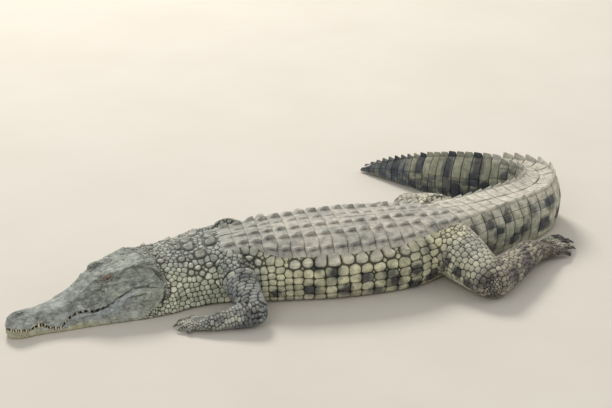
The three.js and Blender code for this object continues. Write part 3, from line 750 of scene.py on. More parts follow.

# Colours of the hide and of the shade painted on it, in red, green and blue out of 255.
tones = {
    "backDust": (190, 185, 172), "backGrey": (142, 145, 138), "flankGreen": (208, 205, 170),
    "flankOlive": (166, 165, 138), "neckPale": (214, 215, 190), "neckGreen": (164, 170, 146),
    "neckTop": (160, 165, 156), "slate": (62, 64, 68), "tailDust": (206, 200, 184),
    "tailOlive": (188, 186, 164), "farOlive": (158, 158, 136), "farSlate": (56, 62, 74),
    "tipSlate": (84, 92, 102), "headGrey": (178, 181, 170), "headDark": (118, 122, 114),
    "cheek": (178, 180, 162), "jawBlue": (172, 178, 178), "jawCream": (204, 198, 158),
    "lidTan": (178, 116, 78), "lidPale": (168, 158, 128), "mouthDark": (26, 25, 22),
    "foldGreen": (66, 72, 50), "armSlate": (146, 150, 147), "armPale": (200, 198, 178),
    "thighPale": (172, 172, 156), "shankTan": (164, 156, 138), "shankPurple": (84, 80, 82),
    "footBrown": (118, 110, 98), "grooveSlate": (40, 42, 38), "grooveDust": (112, 107, 95),
    "belly": (190, 186, 156)}


def linear(rgb):
    return ((np.array(rgb, float) / 255 + .055) / 1.055) ** 2.4


tones = {name: linear(rgb) for name, rgb in tones.items()}


def mixTone(a, b, share):
    return a + (b - a) * np.asarray(share)[..., None]


shieldOut = smoothCurve(  # outer edge of the back's plates, then of the tail's top
    (480, 60), (600, 84), (700, 88), (800, 94), (850, 128), (900, 142), (1100, 156), (1260, 147),
    (1320, 132), (1380, 110), (1466, 92), (1600, 72), (1800, 62), (1950, 54), (2080, 36), (2200, 12),
    (2705, 3))
headEdge = smoothCurve(
    (0, 400), (20, 410), (38, 432), (70, 470), (90, 481), (125, 478), (150, 478), (175, 480))


def pastHead(about):  # how far a place is behind the head's smooth skin, whose edge is uneven
    return about["s"] - headEdge(about["up"]) + (mottle(about["point"], 12, 51) - .5) * 16


whorls = []  # start and length of each ring of tail plates
s = float(vent)
while s < length - 12:
    share = (s - vent) / (length - vent)
    whorls.append((s, 45 + (24 - 45) * share))
    s += whorls[-1][1]
darkSpots = [  # s, up, radius on the left side; the right side of the trunk has them a little further back
    (976, 51, 24), (990, 132, 20), (1046, 105, 22), (1078, 35, 24), (1138, 80, 20), (1168, 24, 24),
    (1222, 57, 22), (1284, 81, 20), (1282, 14, 26), (772, 144, 22), (1340, 40, 24), (870, 40, 18),
    (1506, 130, 22), (1576, 129, 18), (1560, 60, 22), (1606, 95, 24), (1656, 133, 20), (1690, 50, 22),
    (1730, 70, 24), (1770, 121, 22), (1822, 58, 24), (1850, 122, 22), (1900, 60, 20), (1930, 110, 20),
    (2000, 60, 24), (2082, 150, 18), (2110, 122, 20), (2120, 60, 16), (2180, 84, 16), (2226, 96, 24),
    (2278, 48, 30), (2330, 30, 18), (2400, 24, 18), (2464, 20, 18)]
darkBands = [  # from, to, lowest height
    (2192, 2226, 118), (2306, 2340, 84), (2420, 2456, 66), (2540, 2560, 40)]
legMarks = [  # dark marks of the left thigh: a point and its radius
    (284, -164, 125, 17), (277, -162, 77, 20), (287, -181, 98, 17), (309, -217, 78, 20),
    (332, -250, 54, 22), (408, -296, 52, 17), (396, -300, 20, 18), (440, -268, 62, 14), (372, -285, 26, 18),
    (470, -255, 84, 15)]


def legColour(about):
    point = about["point"]
    part = np.array([("upper", "lower", "palm", "digit").index(b["part"]) for b in bones])[about["bone"]]
    share = about["share"]
    hind = about["leg"] >= legNames.index("hind_left")
    patch = mottle(point, 36, 21) * .6 + mottle(point, 15, 22) * .4
    small = mottle(point, 11, 23)
    front = np.clip(-point[:, 0] - 330, -60, 200) / 60  # the leading side of the fore leg is paler
    paleness = smoothstep(.6, .74, patch * .55 + small * .25 + .12 * front)
    arm = mixTone(tones["armSlate"], tones["armPale"], paleness * .6)
    arm = mixTone(arm, tones["slate"], smoothstep(.5, .66, mottle(point, 22, 28)) * .5)
    bars = mottle(point * (.5, 1, 1), 34, 31) * .65 + patch * .35
    thigh = mixTone(tones["thighPale"], tones["tailOlive"], smoothstep(.4, .7, mottle(point, 60, 25)) * .4)
    leading = smoothstep(.1, .5, share) * smoothstep(1.0, .8, share)
    leading = leading * smoothstep(150, 95, point[:, 2] + (point[:, 0] - 300) * .1)
    thigh = mixTone(thigh, tones["flankGreen"], leading * .6)
    marks = np.zeros(len(point))
    for x, y, z, radius in legMarks:
        away = np.linalg.norm(point - (x, y, z), axis=1) / radius
        marks = np.maximum(marks, smoothstep(1.1, .85, away + (patch - .5) * .5))
    marked = about["leg"] == legNames.index("hind_left")
    bars = np.where(marked, marks, smoothstep(.5, .545, bars) * leading)
    thigh = mixTone(thigh, tones["slate"], bars * .93)
    shank = mixTone(tones["shankTan"], tones["shankPurple"], smoothstep(.46, .56, patch) * .8)
    shank = mixTone(shank, tones["slate"], smoothstep(.58, .7, small) * .45)
    thigh = mixTone(thigh, shank, smoothstep(.8, 1.02, share) * .8)
    foot = mixTone(tones["footBrown"], tones["slate"], smoothstep(.45, .7, small) * .5)
    foot = mixTone(foot, tones["thighPale"], smoothstep(.6, .8, mottle(point, 6, 33)) * .35)
    hindTone = np.where((part == 0)[:, None], thigh, np.where((part == 1)[:, None], shank, foot))
    return np.where(hind[:, None], hindTone, arm)


def bodyColour(about):
    s, out, up, point = about["s"], about["out"], about["up"], about["point"]
    wide = np.abs(out)
    patch = mottle(point, 46, 1) * .6 + mottle(point, 19, 2) * .4
    small = mottle(point, 12, 5)
    back = mixTone(tones["backDust"], tones["backGrey"], smoothstep(.38, .7, patch) * .6)
    back = mixTone(back, tones["backGrey"], smoothstep(1020, 760, s) * .75)
    flank = mixTone(tones["flankGreen"], tones["flankOlive"], smoothstep(.4, .68, patch) * .8)
    neck = mixTone(tones["neckPale"], tones["neckGreen"], smoothstep(.45, .7, patch) * .6)
    neck = mixTone(neck, tones["neckTop"], smoothstep(118, 138, up) * .85)
    flank = mixTone(flank, neck, smoothstep(900, 740, s))
    onTop = smoothstep(6, -6, wide - shieldOut(s))
    tone = mixTone(flank, mixTone(back, tones["neckTop"], smoothstep(760, 700, s)), onTop)
    tailSide = mixTone(tones["tailOlive"], tones["flankOlive"], smoothstep(.45, .7, patch) * .5)
    tailSide = mixTone(tailSide, tones["farOlive"], smoothstep(2050, 2160, s))
    tailSide = mixTone(tailSide, tones["tailDust"], smoothstep(105, 170, up) * smoothstep(2120, 2000, s) * .5)
    tailTop = mixTone(tones["tailDust"], tones["backDust"], smoothstep(.4, .75, patch) * .7)
    tail = mixTone(tailSide, tailTop, smoothstep(5, -4, wide - shieldOut(s) + 3) * smoothstep(2230, 2120, s))
    tone = mixTone(tone, tail, smoothstep(1400, 1520, s))
    spotted = np.zeros(len(s))
    for place, height, radius in darkSpots:
        along = s - place - np.where((out > 0) | (place > 2050), 0, 34)
        d = np.hypot(along, up - height) / radius + (patch - .5) * .8
        spotted = np.maximum(spotted, smoothstep(1.12, .85, d))
    strays = smoothstep(.67, .72, patch) * .8 * smoothstep(900, 980, s) * smoothstep(2100, 2060, s)
    spotted = np.maximum(spotted, strays)
    spotted *= smoothstep(-2, 8, wide - shieldOut(s))
    for low, high, floor in darkBands:
        band = smoothstep(low - 3, low + 1, s) * smoothstep(high + 3, high - 1, s)
        spotted = np.maximum(spotted, band * smoothstep(floor - 4, floor + 2, up))
    lowTail = smoothstep(2080, 2160, s) * smoothstep(.5, .44, up / np.maximum(ridgeHeight(s), 1))
    tone = mixTone(tone, tones["farSlate"], lowTail * smoothstep(.38, .5, small) * .75)
    tip = smoothstep(2470, 2500, s) * (.55 + .4 * smoothstep(.3, .6, small))
    tone = mixTone(tone, tones["tipSlate"], tip)
    dark = mixTone(tones["slate"], tones["farSlate"], smoothstep(1400, 2100, s))
    tone = mixTone(tone, dark, spotted * .94)
    tone = mixTone(tone, tones["belly"], smoothstep(14, 4, up) * .7)
    return tone * (.9 + .2 * small)[:, None]


mouthFlesh = (.16, .045, .03)  # already linear


def headColour(about):
    s, up, point = about["s"], about["up"], about["point"]
    wide = np.abs(about["out"])
    spot = np.stack([s, wide, up], 1)
    patch = mottle(point, 24, 7) * .4 + mottle(point, 9, 8) * .6
    small = mottle(point, 4.2, 9)
    streaks = mottle(spot * (.3, 1, 1), 6, 14)
    tone = mixTone(tones["headGrey"], tones["headDark"], smoothstep(.34, .66, patch) * .5)
    tone = mixTone(tone, tones["cheek"], smoothstep(230, 330, s) * .5)
    tone = mixTone(tone, tones["headDark"], smoothstep(.5, .62, streaks) * .55 * smoothstep(160, 300, s))
    tone = mixTone(tone, tones["headDark"], smoothstep(110, 60, s) * smoothstep(54, 66, up) * .5)
    jawSide = smoothstep(1.5, -1.5, up - mouthHeight(s))
    jaw = mixTone(tones["jawBlue"], tones["headGrey"], smoothstep(.4, .6, patch) * .6)
    jaw = mixTone(jaw, tones["headDark"], smoothstep(.6, .75, streaks) * .35)
    jaw = mixTone(jaw, tones["cheek"], smoothstep(320, 420, s) * .75)
    low = smoothstep(.6, .12, up / np.maximum(mouthHeight(s), 1))
    jaw = mixTone(jaw, tones["jawCream"], low * smoothstep(460, 160, s) * .95)
    jaw = mixTone(jaw, tones["jawCream"], smoothstep(160, 60, s) * .55)
    tone = mixTone(tone, jaw, jawSide)
    centre, gap = mouthCentre(s)
    # painted shade in the mouth slit, giving way to flesh colour in patches near the front
    slit = smoothstep(1.3, .9, np.abs(up - centre) / gap) * smoothstep(466, 430, s)
    slit = slit * (1 - .4 * smoothstep(320, 380, s))
    fleshy = smoothstep(.6, .75, small) * .5 * smoothstep(190, 150, s)
    flesh = mixTone(tones["mouthDark"], mouthFlesh, fleshy)
    tone = mixTone(tone, flesh, slit * .97)
    # painted shade in the grooves and wrinkles: dark green, near black in the deepest ones such as the
    # nostril
    held = grooveShadeAt(spot)
    tone = mixTone(tone, tones["foldGreen"], np.clip(held, 0, .92))
    tone = mixTone(tone, tones["mouthDark"], smoothstep(.95, 1.25, held))
    away = spot - np.array(eye["place"])
    along, height = away @ lidAlong, away @ lidUp
    opening = lids["halfHeight"] * np.clip(1 - (along / lids["halfLength"]) ** 2, 0, 1)
    beyondEnd = np.maximum(np.abs(along) - lids["halfLength"], 0)
    rim = np.hypot(beyondEnd, np.abs(height) - opening)
    nearEye = (away @ facing > 4) & (np.linalg.norm(away, axis=1) < 28)
    upperLid = np.exp(-((rim - 2.2) / 1.7) ** 2) * nearEye * (height > 0)
    tone = mixTone(tone, tones["lidTan"], upperLid * .9)
    # painted shadow lines above the upper lid and below the lower lid, and painted shade inside the eye's
    # opening
    tone = mixTone(tone, tones["mouthDark"], np.exp(-((rim - 5.8) / 1.4) ** 2) * nearEye * (height > 0) * .75)
    tone = mixTone(tone, tones["lidPale"], np.exp(-((rim - 1.8) / 1.3) ** 2) * nearEye * (height < 0) * .85)
    tone = mixTone(tone, tones["mouthDark"], np.exp(-((rim - 4.8) / 1.5) ** 2) * nearEye * (height < 0) * .6)
    within = nearEye * smoothstep(.9, -.3, np.abs(height) - opening)
    tone = mixTone(tone, tones["mouthDark"], within * (np.abs(along) < lids["halfLength"] + 2))
    return tone * (.87 + .26 * small)[:, None]


def hideColour(about):
    inHead = smoothstep(30, -8, pastHead(about))
    tone = mixTone(bodyColour(about), headColour(about), inHead)
    return mixTone(tone, legColour(about), about["limb"] * (about["leg"] >= 0))


def setColour(mesh, values):
    layer = mesh.color_attributes.new("hide", "FLOAT_COLOR", "POINT")
    opaqueValues = np.concatenate([values, np.ones((len(values), 1))], 1)
    layer.data.foreach_set("color", opaqueValues.astype(np.float32).ravel())


scaled = smoothstep(-5, 4, pastHead(about))  # where scales cover the skin, it is painted dark as the shade in the gaps between them
gapShade = mixTone(hideColour(about) * .24, tones["grooveSlate"] * .8, .5)
# dust in the gaps on the back lightens that painted shade
dusty = smoothstep(4, -8, np.abs(about["out"]) - shieldOut(about["s"])) * smoothstep(2200, 2050, about["s"])
gapShade = mixTone(gapShade, tones["grooveDust"], dusty * (1 - about["limb"]) * smoothstep(700, 900, about["s"]) * .6)
setColour(skinMesh, mixTone(hideColour(about), gapShade, scaled))
finish = skinMesh.attributes.new("headShare", "FLOAT", "POINT")
finish.data.foreach_set("value", (1 - scaled).astype(np.float32))
print("skin coloured")

# Places for the scales are found on the finished skin.
faceCorners = np.empty(len(skinMesh.loops), np.int32)
skinMesh.loops.foreach_get("vertex_index", faceCorners)
skinFaces = [faceCorners[p.loop_start:p.loop_start + p.loop_total].tolist() for p in skinMesh.polygons]
skinTree = BVHTree.FromPolygons(skinPoints.tolist(), skinFaces)
vertexNormals = readVertices(skinMesh, "normal")
seeds = []  # one dictionary for each scale


def onSkin(spots):
    return np.array([skinTree.find_nearest(Vector(p))[0] for p in spots.reshape(-1, 3)]).reshape(spots.shape)


def seedAt(spot, normal, radius, claim, height, keel, power, form, stretch):
    return {"spot": spot, "normal": normal, "radius": radius, "claim": claim, "height": height, "keel": keel,
            "power": power, "form": form, "stretch": stretch}  # a higher power gives sharper corners


def addSeed(point, radius, height, keel=0, claim=None, power=9, form="scale", reach=14, stretch=1.0):
    spot, _, face, distance = skinTree.find_nearest(Vector(point))
    if spot is None or distance > reach:
        return
    normal = unit(vertexNormals[skinFaces[face]].mean(0))
    seeds.append(seedAt(np.array(spot), normal, radius, claim or radius, height, keel, power, form, stretch))


nuchal = [  # raised shields behind the head: s, out, radius, keel, stretch
    (612, 21, 26, 9, 1.15), (684, 22, 27, 9, 1.2), (642, 72, 25, 11, 1.2), (574, 72, 14, 6, 1.3),
    (498, 22, 10, 3, 1.4), (497, 62, 12, 4, 1.5), (512, 44, 8, 2, 1.2), (576, 17, 9, 2, 1.2),
    (600, 96, 13, 5, 1.2), (626, 106, 13, 5, 1.2), (668, 108, 14, 6, 1.3), (596, 114, 12, 3, 1),
    (640, 120, 13, 3, 1), (704, 118, 14, 5, 1.3), (700, 150, 14, 4, 1.2), (740, 118, 14, 5, 1.4),
    (786, 122, 15, 6, 1.4), (816, 134, 16, 5, 1.2), (770, 144, 13, 3, 1.1)]
for place, out, radius, keel, stretch in nuchal:
    for side in (1, -1):
        if out < 100 or float(crestOut(place)) < out:
            at = bodySurface(place, arcAtOut(place, out), side)
            addSeed(at, radius, 5 + radius * .08, keel * 1.3, radius * 1.04, 3.4, "scute", 14, stretch)

ovals = {"first": 922, "pitch": 41, "count": 9, "radius": 22, "below": 19, "height": 8, "stretch": 1.42}
for k in range(ovals["count"]):  # big ovals below the back's plates
    s = ovals["first"] + ovals["pitch"] * k
    for side in (1, -1):
        radius = ovals["radius"] + rng.uniform(-4, 2)
        arc = arcAtOut(s, float(shieldOut(s))) + ovals["below"] + rng.normal(0, 2)
        at = bodySurface(s + rng.normal(0, 3), arc, side)
        addSeed(at, radius, ovals["height"], 8, radius, 5, "scute", 14, ovals["stretch"])

flankRows = {
    "pitch": smoothCurve((430, 13), (500, 16), (560, 19), (640, 21), (760, 23), (900, 27), (1000, 35),
                         (1240, 36), (1340, 26), (1466, 22)),
    "first": 432.0, "neckTo": 720, "foot": 5.0, "closer": .86, "jitter": .04, "belowOvals": 32,
    "ovalsFrom": 905, "ovalsTo": 1275, "neckLean": .34, "lean": .06}
s = flankRows["first"]
while s < vent + 20:
    pitch = float(flankRows["pitch"](s))
    low = arcAtUp(s, flankRows["foot"])
    if s > flankRows["neckTo"]:
        arc = arcAtOut(s, min(float(shieldOut(s)), float(flankOut(s)) * .95)) + 6
    else:
        arc = arcAtOut(s, float(shieldOut(s)))
    if flankRows["ovalsFrom"] < s < flankRows["ovalsTo"]:
        arc += flankRows["belowOvals"]
    count = max(int(round((low - arc) / (pitch * flankRows["closer"]))), 2)
    lean = flankRows["neckLean" if s < flankRows["neckTo"] else "lean"]
    for side in (1, -1):
        for j in range(count):
            spacing = (low - arc) / count
            there = arc + spacing * (j + .5) + rng.normal(0, pitch * flankRows["jitter"])
            size = pitch * .53 * rng.uniform(.92, 1.1)
            shift = (j - count / 2) * pitch * lean
            at = bodySurface(s + shift + rng.normal(0, pitch * flankRows["jitter"]), there, side)
            if float(headEdge(at[2])) + 20 < s + shift < vent + 10:
                addSeed(at, size, 2.4 + size * .11, 0, size * .95, 8, "scale", 14, 1.1)
    s += pitch

bellyShields = {"first": 560.0, "along": 28, "around": 26, "radius": 13, "height": 2.2, "foot": 4.0}
s = bellyShields["first"]
while s < vent:  # flat on the floor
    low = arcAtUp(s, bellyShields["foot"])
    total = onRing(s)[1][-1] - low
    count = max(int(total / bellyShields["around"]), 1)
    for side in (1, -1):
        for j in range(count):
            at = bodySurface(s, low + total * (j + .5) / count, side)
            addSeed(at, bellyShields["radius"], bellyShields["height"], 0, bellyShields["radius"], 12, "flat")
    s += bellyShields["along"]

limbRows = {  # pitch along and around each bone, height of the scales, and the part of the bone they cover
    "front": {"upper": (11.5, 30, 2.6, .32, .98), "lower": (10, 18, 2, -.14, 1.02),
              "palm": (8.5, 11, 1.5, 0, 1.0), "digit": (7, 9, 1.2, .08, .78)},
    "hind": {"upper": (17, 20, 2.4, .2, 1.12), "lower": (15, 17, 2.8, -.05, 1.02),
             "palm": (10, 12, 1.8, 0, 1.0), "digit": (8, 10, 1.4, .08, .78)}}
for bone in bones:
    kind, part = bone["leg"].split("_")[0], bone["part"]
    alongPitch, aroundPitch, height, low, high = limbRows[kind][part]
    a, b = bone["a"], bone["b"]
    side, lift = limbAxes(unit(b - a))
    span = np.linalg.norm(b - a)
    size, narrow = aroundPitch * .52, alongPitch / aroundPitch
    claim = alongPitch * (.68 if alongPitch < aroundPitch * .7 else .52)
    for i in range(int(span * (high - low) / alongPitch)):
        share = low + (i + .5) * alongPitch / span
        radius = float(bone["radius"](share)) - legInset
        count = max(int(2 * math.pi * radius / aroundPitch), 5)
        stagger = .5 if i % 2 and part != "upper" else i * .23
        for j in range(count):
            turn = 2 * math.pi * (j + stagger) / count + rng.normal(0, .05)
            spot = a + (b - a) * (share + rng.normal(0, .05) * alongPitch / span)
            spot = spot + (side * math.cos(turn) + lift * math.sin(turn)) * radius
            if part == "digit":
                spot[2] += math.sin(share * math.pi) * span * digitArch
            keel = 2.4 if part == "lower" and kind == "hind" and rng.random() < .4 else 0
            reach = 9 if part == "upper" else 5
            addSeed(spot, size * rng.uniform(.92, 1.1), height, keel, claim, 10, "scale", reach, narrow)
print("laid out", len(seeds), "scales")

# Places too close to a larger scale are dropped.
ranks = {"scute": 3, "scale": 2, "flat": 1}
order = sorted(range(len(seeds)), key=lambda i: (-ranks[seeds[i]["form"]], i))
tree = pointTree([seed["spot"] for seed in seeds])
widest, closeness = 26, .66
kept = np.zeros(len(seeds), bool)
for i in order:
    seed = seeds[i]
    kept[i] = not any(
        kept[j] and d < (seed["claim"] + seeds[j]["claim"]) * closeness
        and seeds[j]["normal"] @ seed["normal"] > -.3
        for _, j, d in tree.find_range(seed["spot"], seed["claim"] + widest))
seeds = [seed for seed, keep in zip(seeds, kept) if keep]

# Small grains fill what is left, the larger ones first.
grains = {"body": (8.5, 2.9), "limb": (5.5, 2.5), "digit": (3.4, 2.1), "tries": 110000, "smallerByHead": .42,
          "closeness": .86, "height": .36, "cornered": 5.2}
triangles = np.array([(f[0], f[k], f[k + 1]) for f in skinFaces for k in range(1, len(f) - 1)])
corner = skinPoints[triangles]
areas = np.linalg.norm(np.cross(corner[:, 1] - corner[:, 0], corner[:, 2] - corner[:, 0]), axis=1) / 2
first = triangles[:, 0]
placeS, placeOut = about["s"][first], np.abs(about["out"][first])
plated = (placeOut < shieldOut(placeS)) & (placeS > 716) & (corner[:, 0, 2] > 90)
plated |= (placeS > vent + 4) & (about["near"][first] > 1.22)
behindHead = pastHead({key: about[key][first] for key in ("s", "up", "point")}) > -3
usable = behindHead & (corner[:, 0, 2] > 6) & ~plated
chosen = rng.choice(len(triangles), grains["tries"], p=areas * usable / (areas * usable).sum())
r1, r2 = np.sqrt(rng.random(len(chosen))), rng.random(len(chosen))
grainPoints = (corner[chosen, 0] * (1 - r1)[:, None] + corner[chosen, 1] * (r1 * (1 - r2))[:, None]
               + corner[chosen, 2] * (r1 * r2)[:, None])
grainNormals = unit(vertexNormals[triangles[chosen]].mean(1))
first = triangles[chosen, 0]
onFoot = footBones[about["bone"][first]] & (about["near"][first] < 1.5)


def grainSizes(k):
    legOrBody = np.where(about["limb"][first] > .5, grains["limb"][k], grains["body"][k])
    return np.where(onFoot, grains["digit"][k], legOrBody)


def claimOf(seed):  # how far the grains stay away from a scale
    if seed["stretch"] < .7:
        return seed["radius"]
    if seed["stretch"] > 1.4:
        return seed["claim"] * 1.12
    if seed["form"] != "scale":
        return seed["claim"] * .9
    return seed["claim"] * (1.2 if seed["radius"] > 15 else 1.42)


progress = np.linspace(0, 1, len(chosen)) ** .6
byHead = smoothstep(46, 8, about["s"][first] - headEdge(about["up"][first]))
big, small = grainSizes(0) * (1 - grains["smallerByHead"] * byHead), grainSizes(1)
grainRadius = (big + (small - big) * progress) * rng.uniform(.85, 1.15, len(chosen))
tree = pointTree([seed["spot"] for seed in seeds])
claims = np.array([claimOf(seed) for seed in seeds])
cells, cellSize, added = {}, 15.0, []
around = [(dx, dy, dz) for dx in (-1, 0, 1) for dy in (-1, 0, 1) for dz in (-1, 0, 1)]
for point, normal, radius in zip(grainPoints.tolist(), grainNormals, grainRadius.tolist()):
    if any(d < claims[j] + radius * .6 for _, j, d in tree.find_n(point, 3)):
        continue
    x, y, z = point
    kx, ky, kz = int(x // cellSize), int(y // cellSize), int(z // cellSize)
    if any((x - ox) ** 2 + (y - oy) ** 2 + (z - oz) ** 2 < ((radius + size) * grains["closeness"]) ** 2
           for dx, dy, dz in around for ox, oy, oz, size in cells.get((kx + dx, ky + dy, kz + dz), ())):
        continue
    cells.setdefault((kx, ky, kz), []).append((x, y, z, radius))
    form = "scale" if radius > grains["cornered"] else "grain"
    added.append(seedAt(np.array(point), normal, radius, radius, radius * grains["height"], 0, 7, form, 1.0))
seeds += added
print("kept", len(seeds) - len(added), "scales and", len(added), "grains")

points, normals, forms = (np.array([seed[key] for seed in seeds]) for key in ("spot", "normal", "form"))
radii, heights, keels, powers, stretches = (
    np.array([seed[key] for seed in seeds], float)
    for key in ("radius", "height", "keel", "power", "stretch"))
seedAbout = describe(points)
turn = np.radians(heading(seedAbout["s"]))
bodyWay = np.stack([np.cos(turn), np.sin(turn), 0 * turn], 1)
boneWay = np.array([unit(b["b"] - b["a"]) for b in bones])[seedAbout["bone"]]
onLimb = (seedAbout["limb"] > .5) & (seedAbout["leg"] >= 0)
ways = np.where(onLimb[:, None], boneWay, bodyWay)
ways = unit(ways - normals * (ways * normals).sum(1, keepdims=True))
acrossWays = np.cross(normals, ways)
tree = pointTree(points)
neighbourCount = 22
neighbours = np.array([[j for _, j, _ in tree.find_n(p, neighbourCount + 1)[1:]] for p in points])
print("neighbours found")

scaleForms = {  # corners, rings as (share of the radius, share of the height), gap between scales
    "scute": {"corners": 28, "gap": 1.4, "rings": (
        (1.0, .05), (.96, .5), (.88, .84), (.74, 1), (.56, 1.05), (.38, 1.08), (.2, 1.1))},
    "scale": {"corners": 14, "gap": .7, "rings": ((1.0, .05), (.94, .62), (.78, .95), (.42, 1.1))},
    "flat": {"corners": 8, "gap": 1.6, "rings": ((1.0, .2), (.9, 1))},
    "grain": {"corners": 8, "gap": .7, "rings": ((1.0, .05), (.7, .85))}}
patchWidth = .0028  # width of a scale on the map that the colours are baked to


def bodyUnwrap(about):  # place on the opened-out body
    bent = np.arctan2(about["out"], about["up"] - 50) / (2 * np.pi) + .5
    return np.stack([about["s"] / (length + 20), bent], 1)


def unwrapPlace(about):  # each scale's place on the opened-out skin, legs side by side over the body
    n = np.maximum(about["bone"], 0)
    along = (n + np.clip(about["share"], -.1, 1.1) * .8 + .1) / len(bones)
    limb = np.stack([along, about["angle"] / (2 * np.pi) + .5], 1)
    return np.where(onLimb[:, None], limb, bodyUnwrap(about)) * .99 + .005


def bakeMap(mesh, unwrap):
    layer = mesh.uv_layers.new(name="OFBake")
    index = np.empty(len(mesh.loops), np.int32)
    mesh.loops.foreach_get("vertex_index", index)
    layer.data.foreach_set("uv", unwrap[index].astype(np.float32).ravel())


roots = unwrapPlace(seedAbout)
raised = (forms == "scute") & (seedAbout["limb"] < .5)
vary = rng.uniform(.82, 1.16, (len(points), 1)) * rng.uniform(.985, 1.015, (len(points), 3))
vary[(forms == "grain") & ~onLimb] *= .8


def scaleTone(about, lifted):
    tone = hideColour(about)
    tone[lifted] = mixTone(tone[lifted], tones["backDust"], .6)
    return tone


tint = scaleTone(seedAbout, raised) * vary
legRegion = np.where(seedAbout["leg"] < 2, "foreLegs", "hindLegs")
bodyRegion = np.where(seedAbout["s"] < 716, "neck", np.where(seedAbout["s"] < vent, "trunk", "tail"))
region = np.where(onLimb, legRegion, bodyRegion)


def scaleBorders(idx, style, angle):  # how far each scale reaches, held off by its neighbours
    near = neighbours[idx]
    gap = points[near] - points[idx, None]
    x = (gap * ways[idx, None]).sum(-1) / stretches[idx, None]
    y = (gap * acrossWays[idx, None]).sum(-1)
    lift = (gap * normals[idx, None]).sum(-1)
    distance = np.maximum(np.sqrt(x * x + y * y + lift * lift), .5)
    level = np.maximum(np.hypot(x, y), .3)
    half = distance * radii[idx, None] / (radii[idx, None] + radii[near])
    facingSame = (normals[near] * normals[idx, None]).sum(-1) > -.2
    lean = (x[..., None] * np.cos(angle) + y[..., None] * np.sin(angle)) / level[..., None]
    lean = np.maximum(lean, 0) / half[..., None] * facingSame[..., None]
    power = powers[idx, None]
    wall = ((lean ** power[..., None]).sum(1) + (1 / (1.75 * radii[idx, None])) ** power) ** (1 / power)
    border = 1 / wall - (style["gap"] + .05 * radii[idx, None]) / 2
    border = np.maximum(border, .35 * radii[idx, None])
    return np.minimum(border, border.min(1, keepdims=True) * 2.2)


def scaleGroup(form, idx):  # points, tones, map places and faces of all the scales of one form
    style = scaleForms[form]
    n, rings = style["corners"], np.array(style["rings"])
    angle = np.arange(n) / n * 2 * np.pi
    border = scaleBorders(idx, style, angle)
    share = rings[:, 0][None, :, None]
    dx = border[:, None] * share * np.cos(angle) * stretches[idx, None, None]
    dy = border[:, None] * share * np.sin(angle)
    spread = points[idx, None, None] + dx[..., None] * ways[idx, None, None]
    spread = spread + dy[..., None] * acrossWays[idx, None, None]
    if form in ("scute", "scale"):
        spread = onSkin(spread)
    across = np.abs(dy) / np.maximum(border.max(1), 1)[:, None, None]
    reach = np.abs(border * np.cos(angle) * stretches[idx, None]).max(1)
    along = dx / np.maximum(reach, 1)[:, None, None]
    ridge = np.exp(-(across / .24) ** 2) * smoothstep(-1, .45, along) * smoothstep(1.0, .7, along)
    height = heights[idx, None, None] * rings[:, 1][None, :, None] + keels[idx, None, None] * ridge
    loops = spread + normals[idx, None, None] * height[..., None]
    skirt = loops[:, :1] - normals[idx, None, None] * 2.4
    loops = np.concatenate([skirt, loops], 1)
    topHeight = heights[idx] * rings[-1, 1] + keels[idx] * smoothstep(-1, .45, 0.0)
    top = points[idx] + normals[idx] * topHeight[:, None]
    block = np.concatenate([loops.reshape(len(idx), -1, 3), top[:, None]], 1)
    block[..., 2] = np.maximum(block[..., 2], floorClear)

    # painted highlight on the middle and top point of each scale, painted shade toward its edge and darkest
    # on the skirt beneath
    shade = np.interp(rings[:, 0][::-1], (0, .7, .94, 1), (1.06, 1.02, .92, .5))[::-1]
    shade = np.concatenate([[.4], shade])
    tone = tint[idx, None, None] * np.ones((1, 1, n, 1))
    if form in ("scute", "scale"):  # markings cross from one scale to the next
        edgeTone = scaleTone(describe(spread[:, 1].reshape(-1, 3)), np.repeat(raised[idx], n))
        edgeTone = (edgeTone.reshape(len(idx), n, 3) * vary[idx, None])[:, None]
        blend = (np.concatenate([[1], rings[:, 0]]) * .8)[None, :, None, None]
        tone = tone * (1 - blend) + edgeTone * blend
    tone = tone * shade[None, :, None, None]
    # keels lighter along their tops: partly wear, partly painted highlight
    wearAndHighlight = np.concatenate([np.zeros_like(ridge[:, :1]), ridge], 1) * np.minimum(keels[idx, None, None] / 6, 1)
    tone = tone * (1 + .22 * wearAndHighlight[..., None])
    tone = np.concatenate([tone.reshape(len(idx), -1, 3), tint[idx, None] * 1.04], 1)

    circle = np.stack([np.cos(angle), np.sin(angle)], -1)
    local = np.concatenate([circle[None], circle[None] * rings[:, 0][:, None, None]]).reshape(-1, 2)
    local = np.concatenate([local, np.zeros((1, 2))]) * patchWidth / 2
    grid = np.arange((len(rings) + 1) * n).reshape(-1, n)
    cap = np.stack([grid[-1], np.roll(grid[-1], -1), np.full(n, grid.size)], -1)
    base = np.arange(len(idx))[:, None, None] * (grid.size + 1)
    faces = [(ringQuads(grid)[None] + base).reshape(-1, 4), (cap[None] + base).reshape(-1, 3)]
    return block.reshape(-1, 3), tone.reshape(-1, 3), (roots[idx, None] + local).reshape(-1, 2), faces


def scaleMesh(name, select):
    groups, faceGroups, start = [], [], 0
    for form in scaleForms:
        idx = np.nonzero(select & (forms == form))[0]
        if len(idx):
            groups.append(scaleGroup(form, idx))
            faceGroups += [faces + start for faces in groups[-1][3]]
            start += len(groups[-1][0])
    spots, shades, unwrap = (np.concatenate([group[k] for group in groups]) for k in range(3))
    mesh = makeMesh(name, toWorld(spots), *faceGroups)
    setColour(mesh, shades)
    bakeMap(mesh, unwrap)
    return mesh


coatPieces = []
for name in ("neck", "trunk", "tail", "foreLegs", "hindLegs"):
    for half, label in ((seedAbout["out"] > 0, "left"), (seedAbout["out"] <= 0, "right")):
        mesh = scaleMesh(f"scales_{name}_{label}", (region == name) & half)
        coatPieces.append(addObject(f"scales_{name}_{label}", mesh))
        print("scales", name, label, sum(p.loop_total - 2 for p in mesh.polygons))

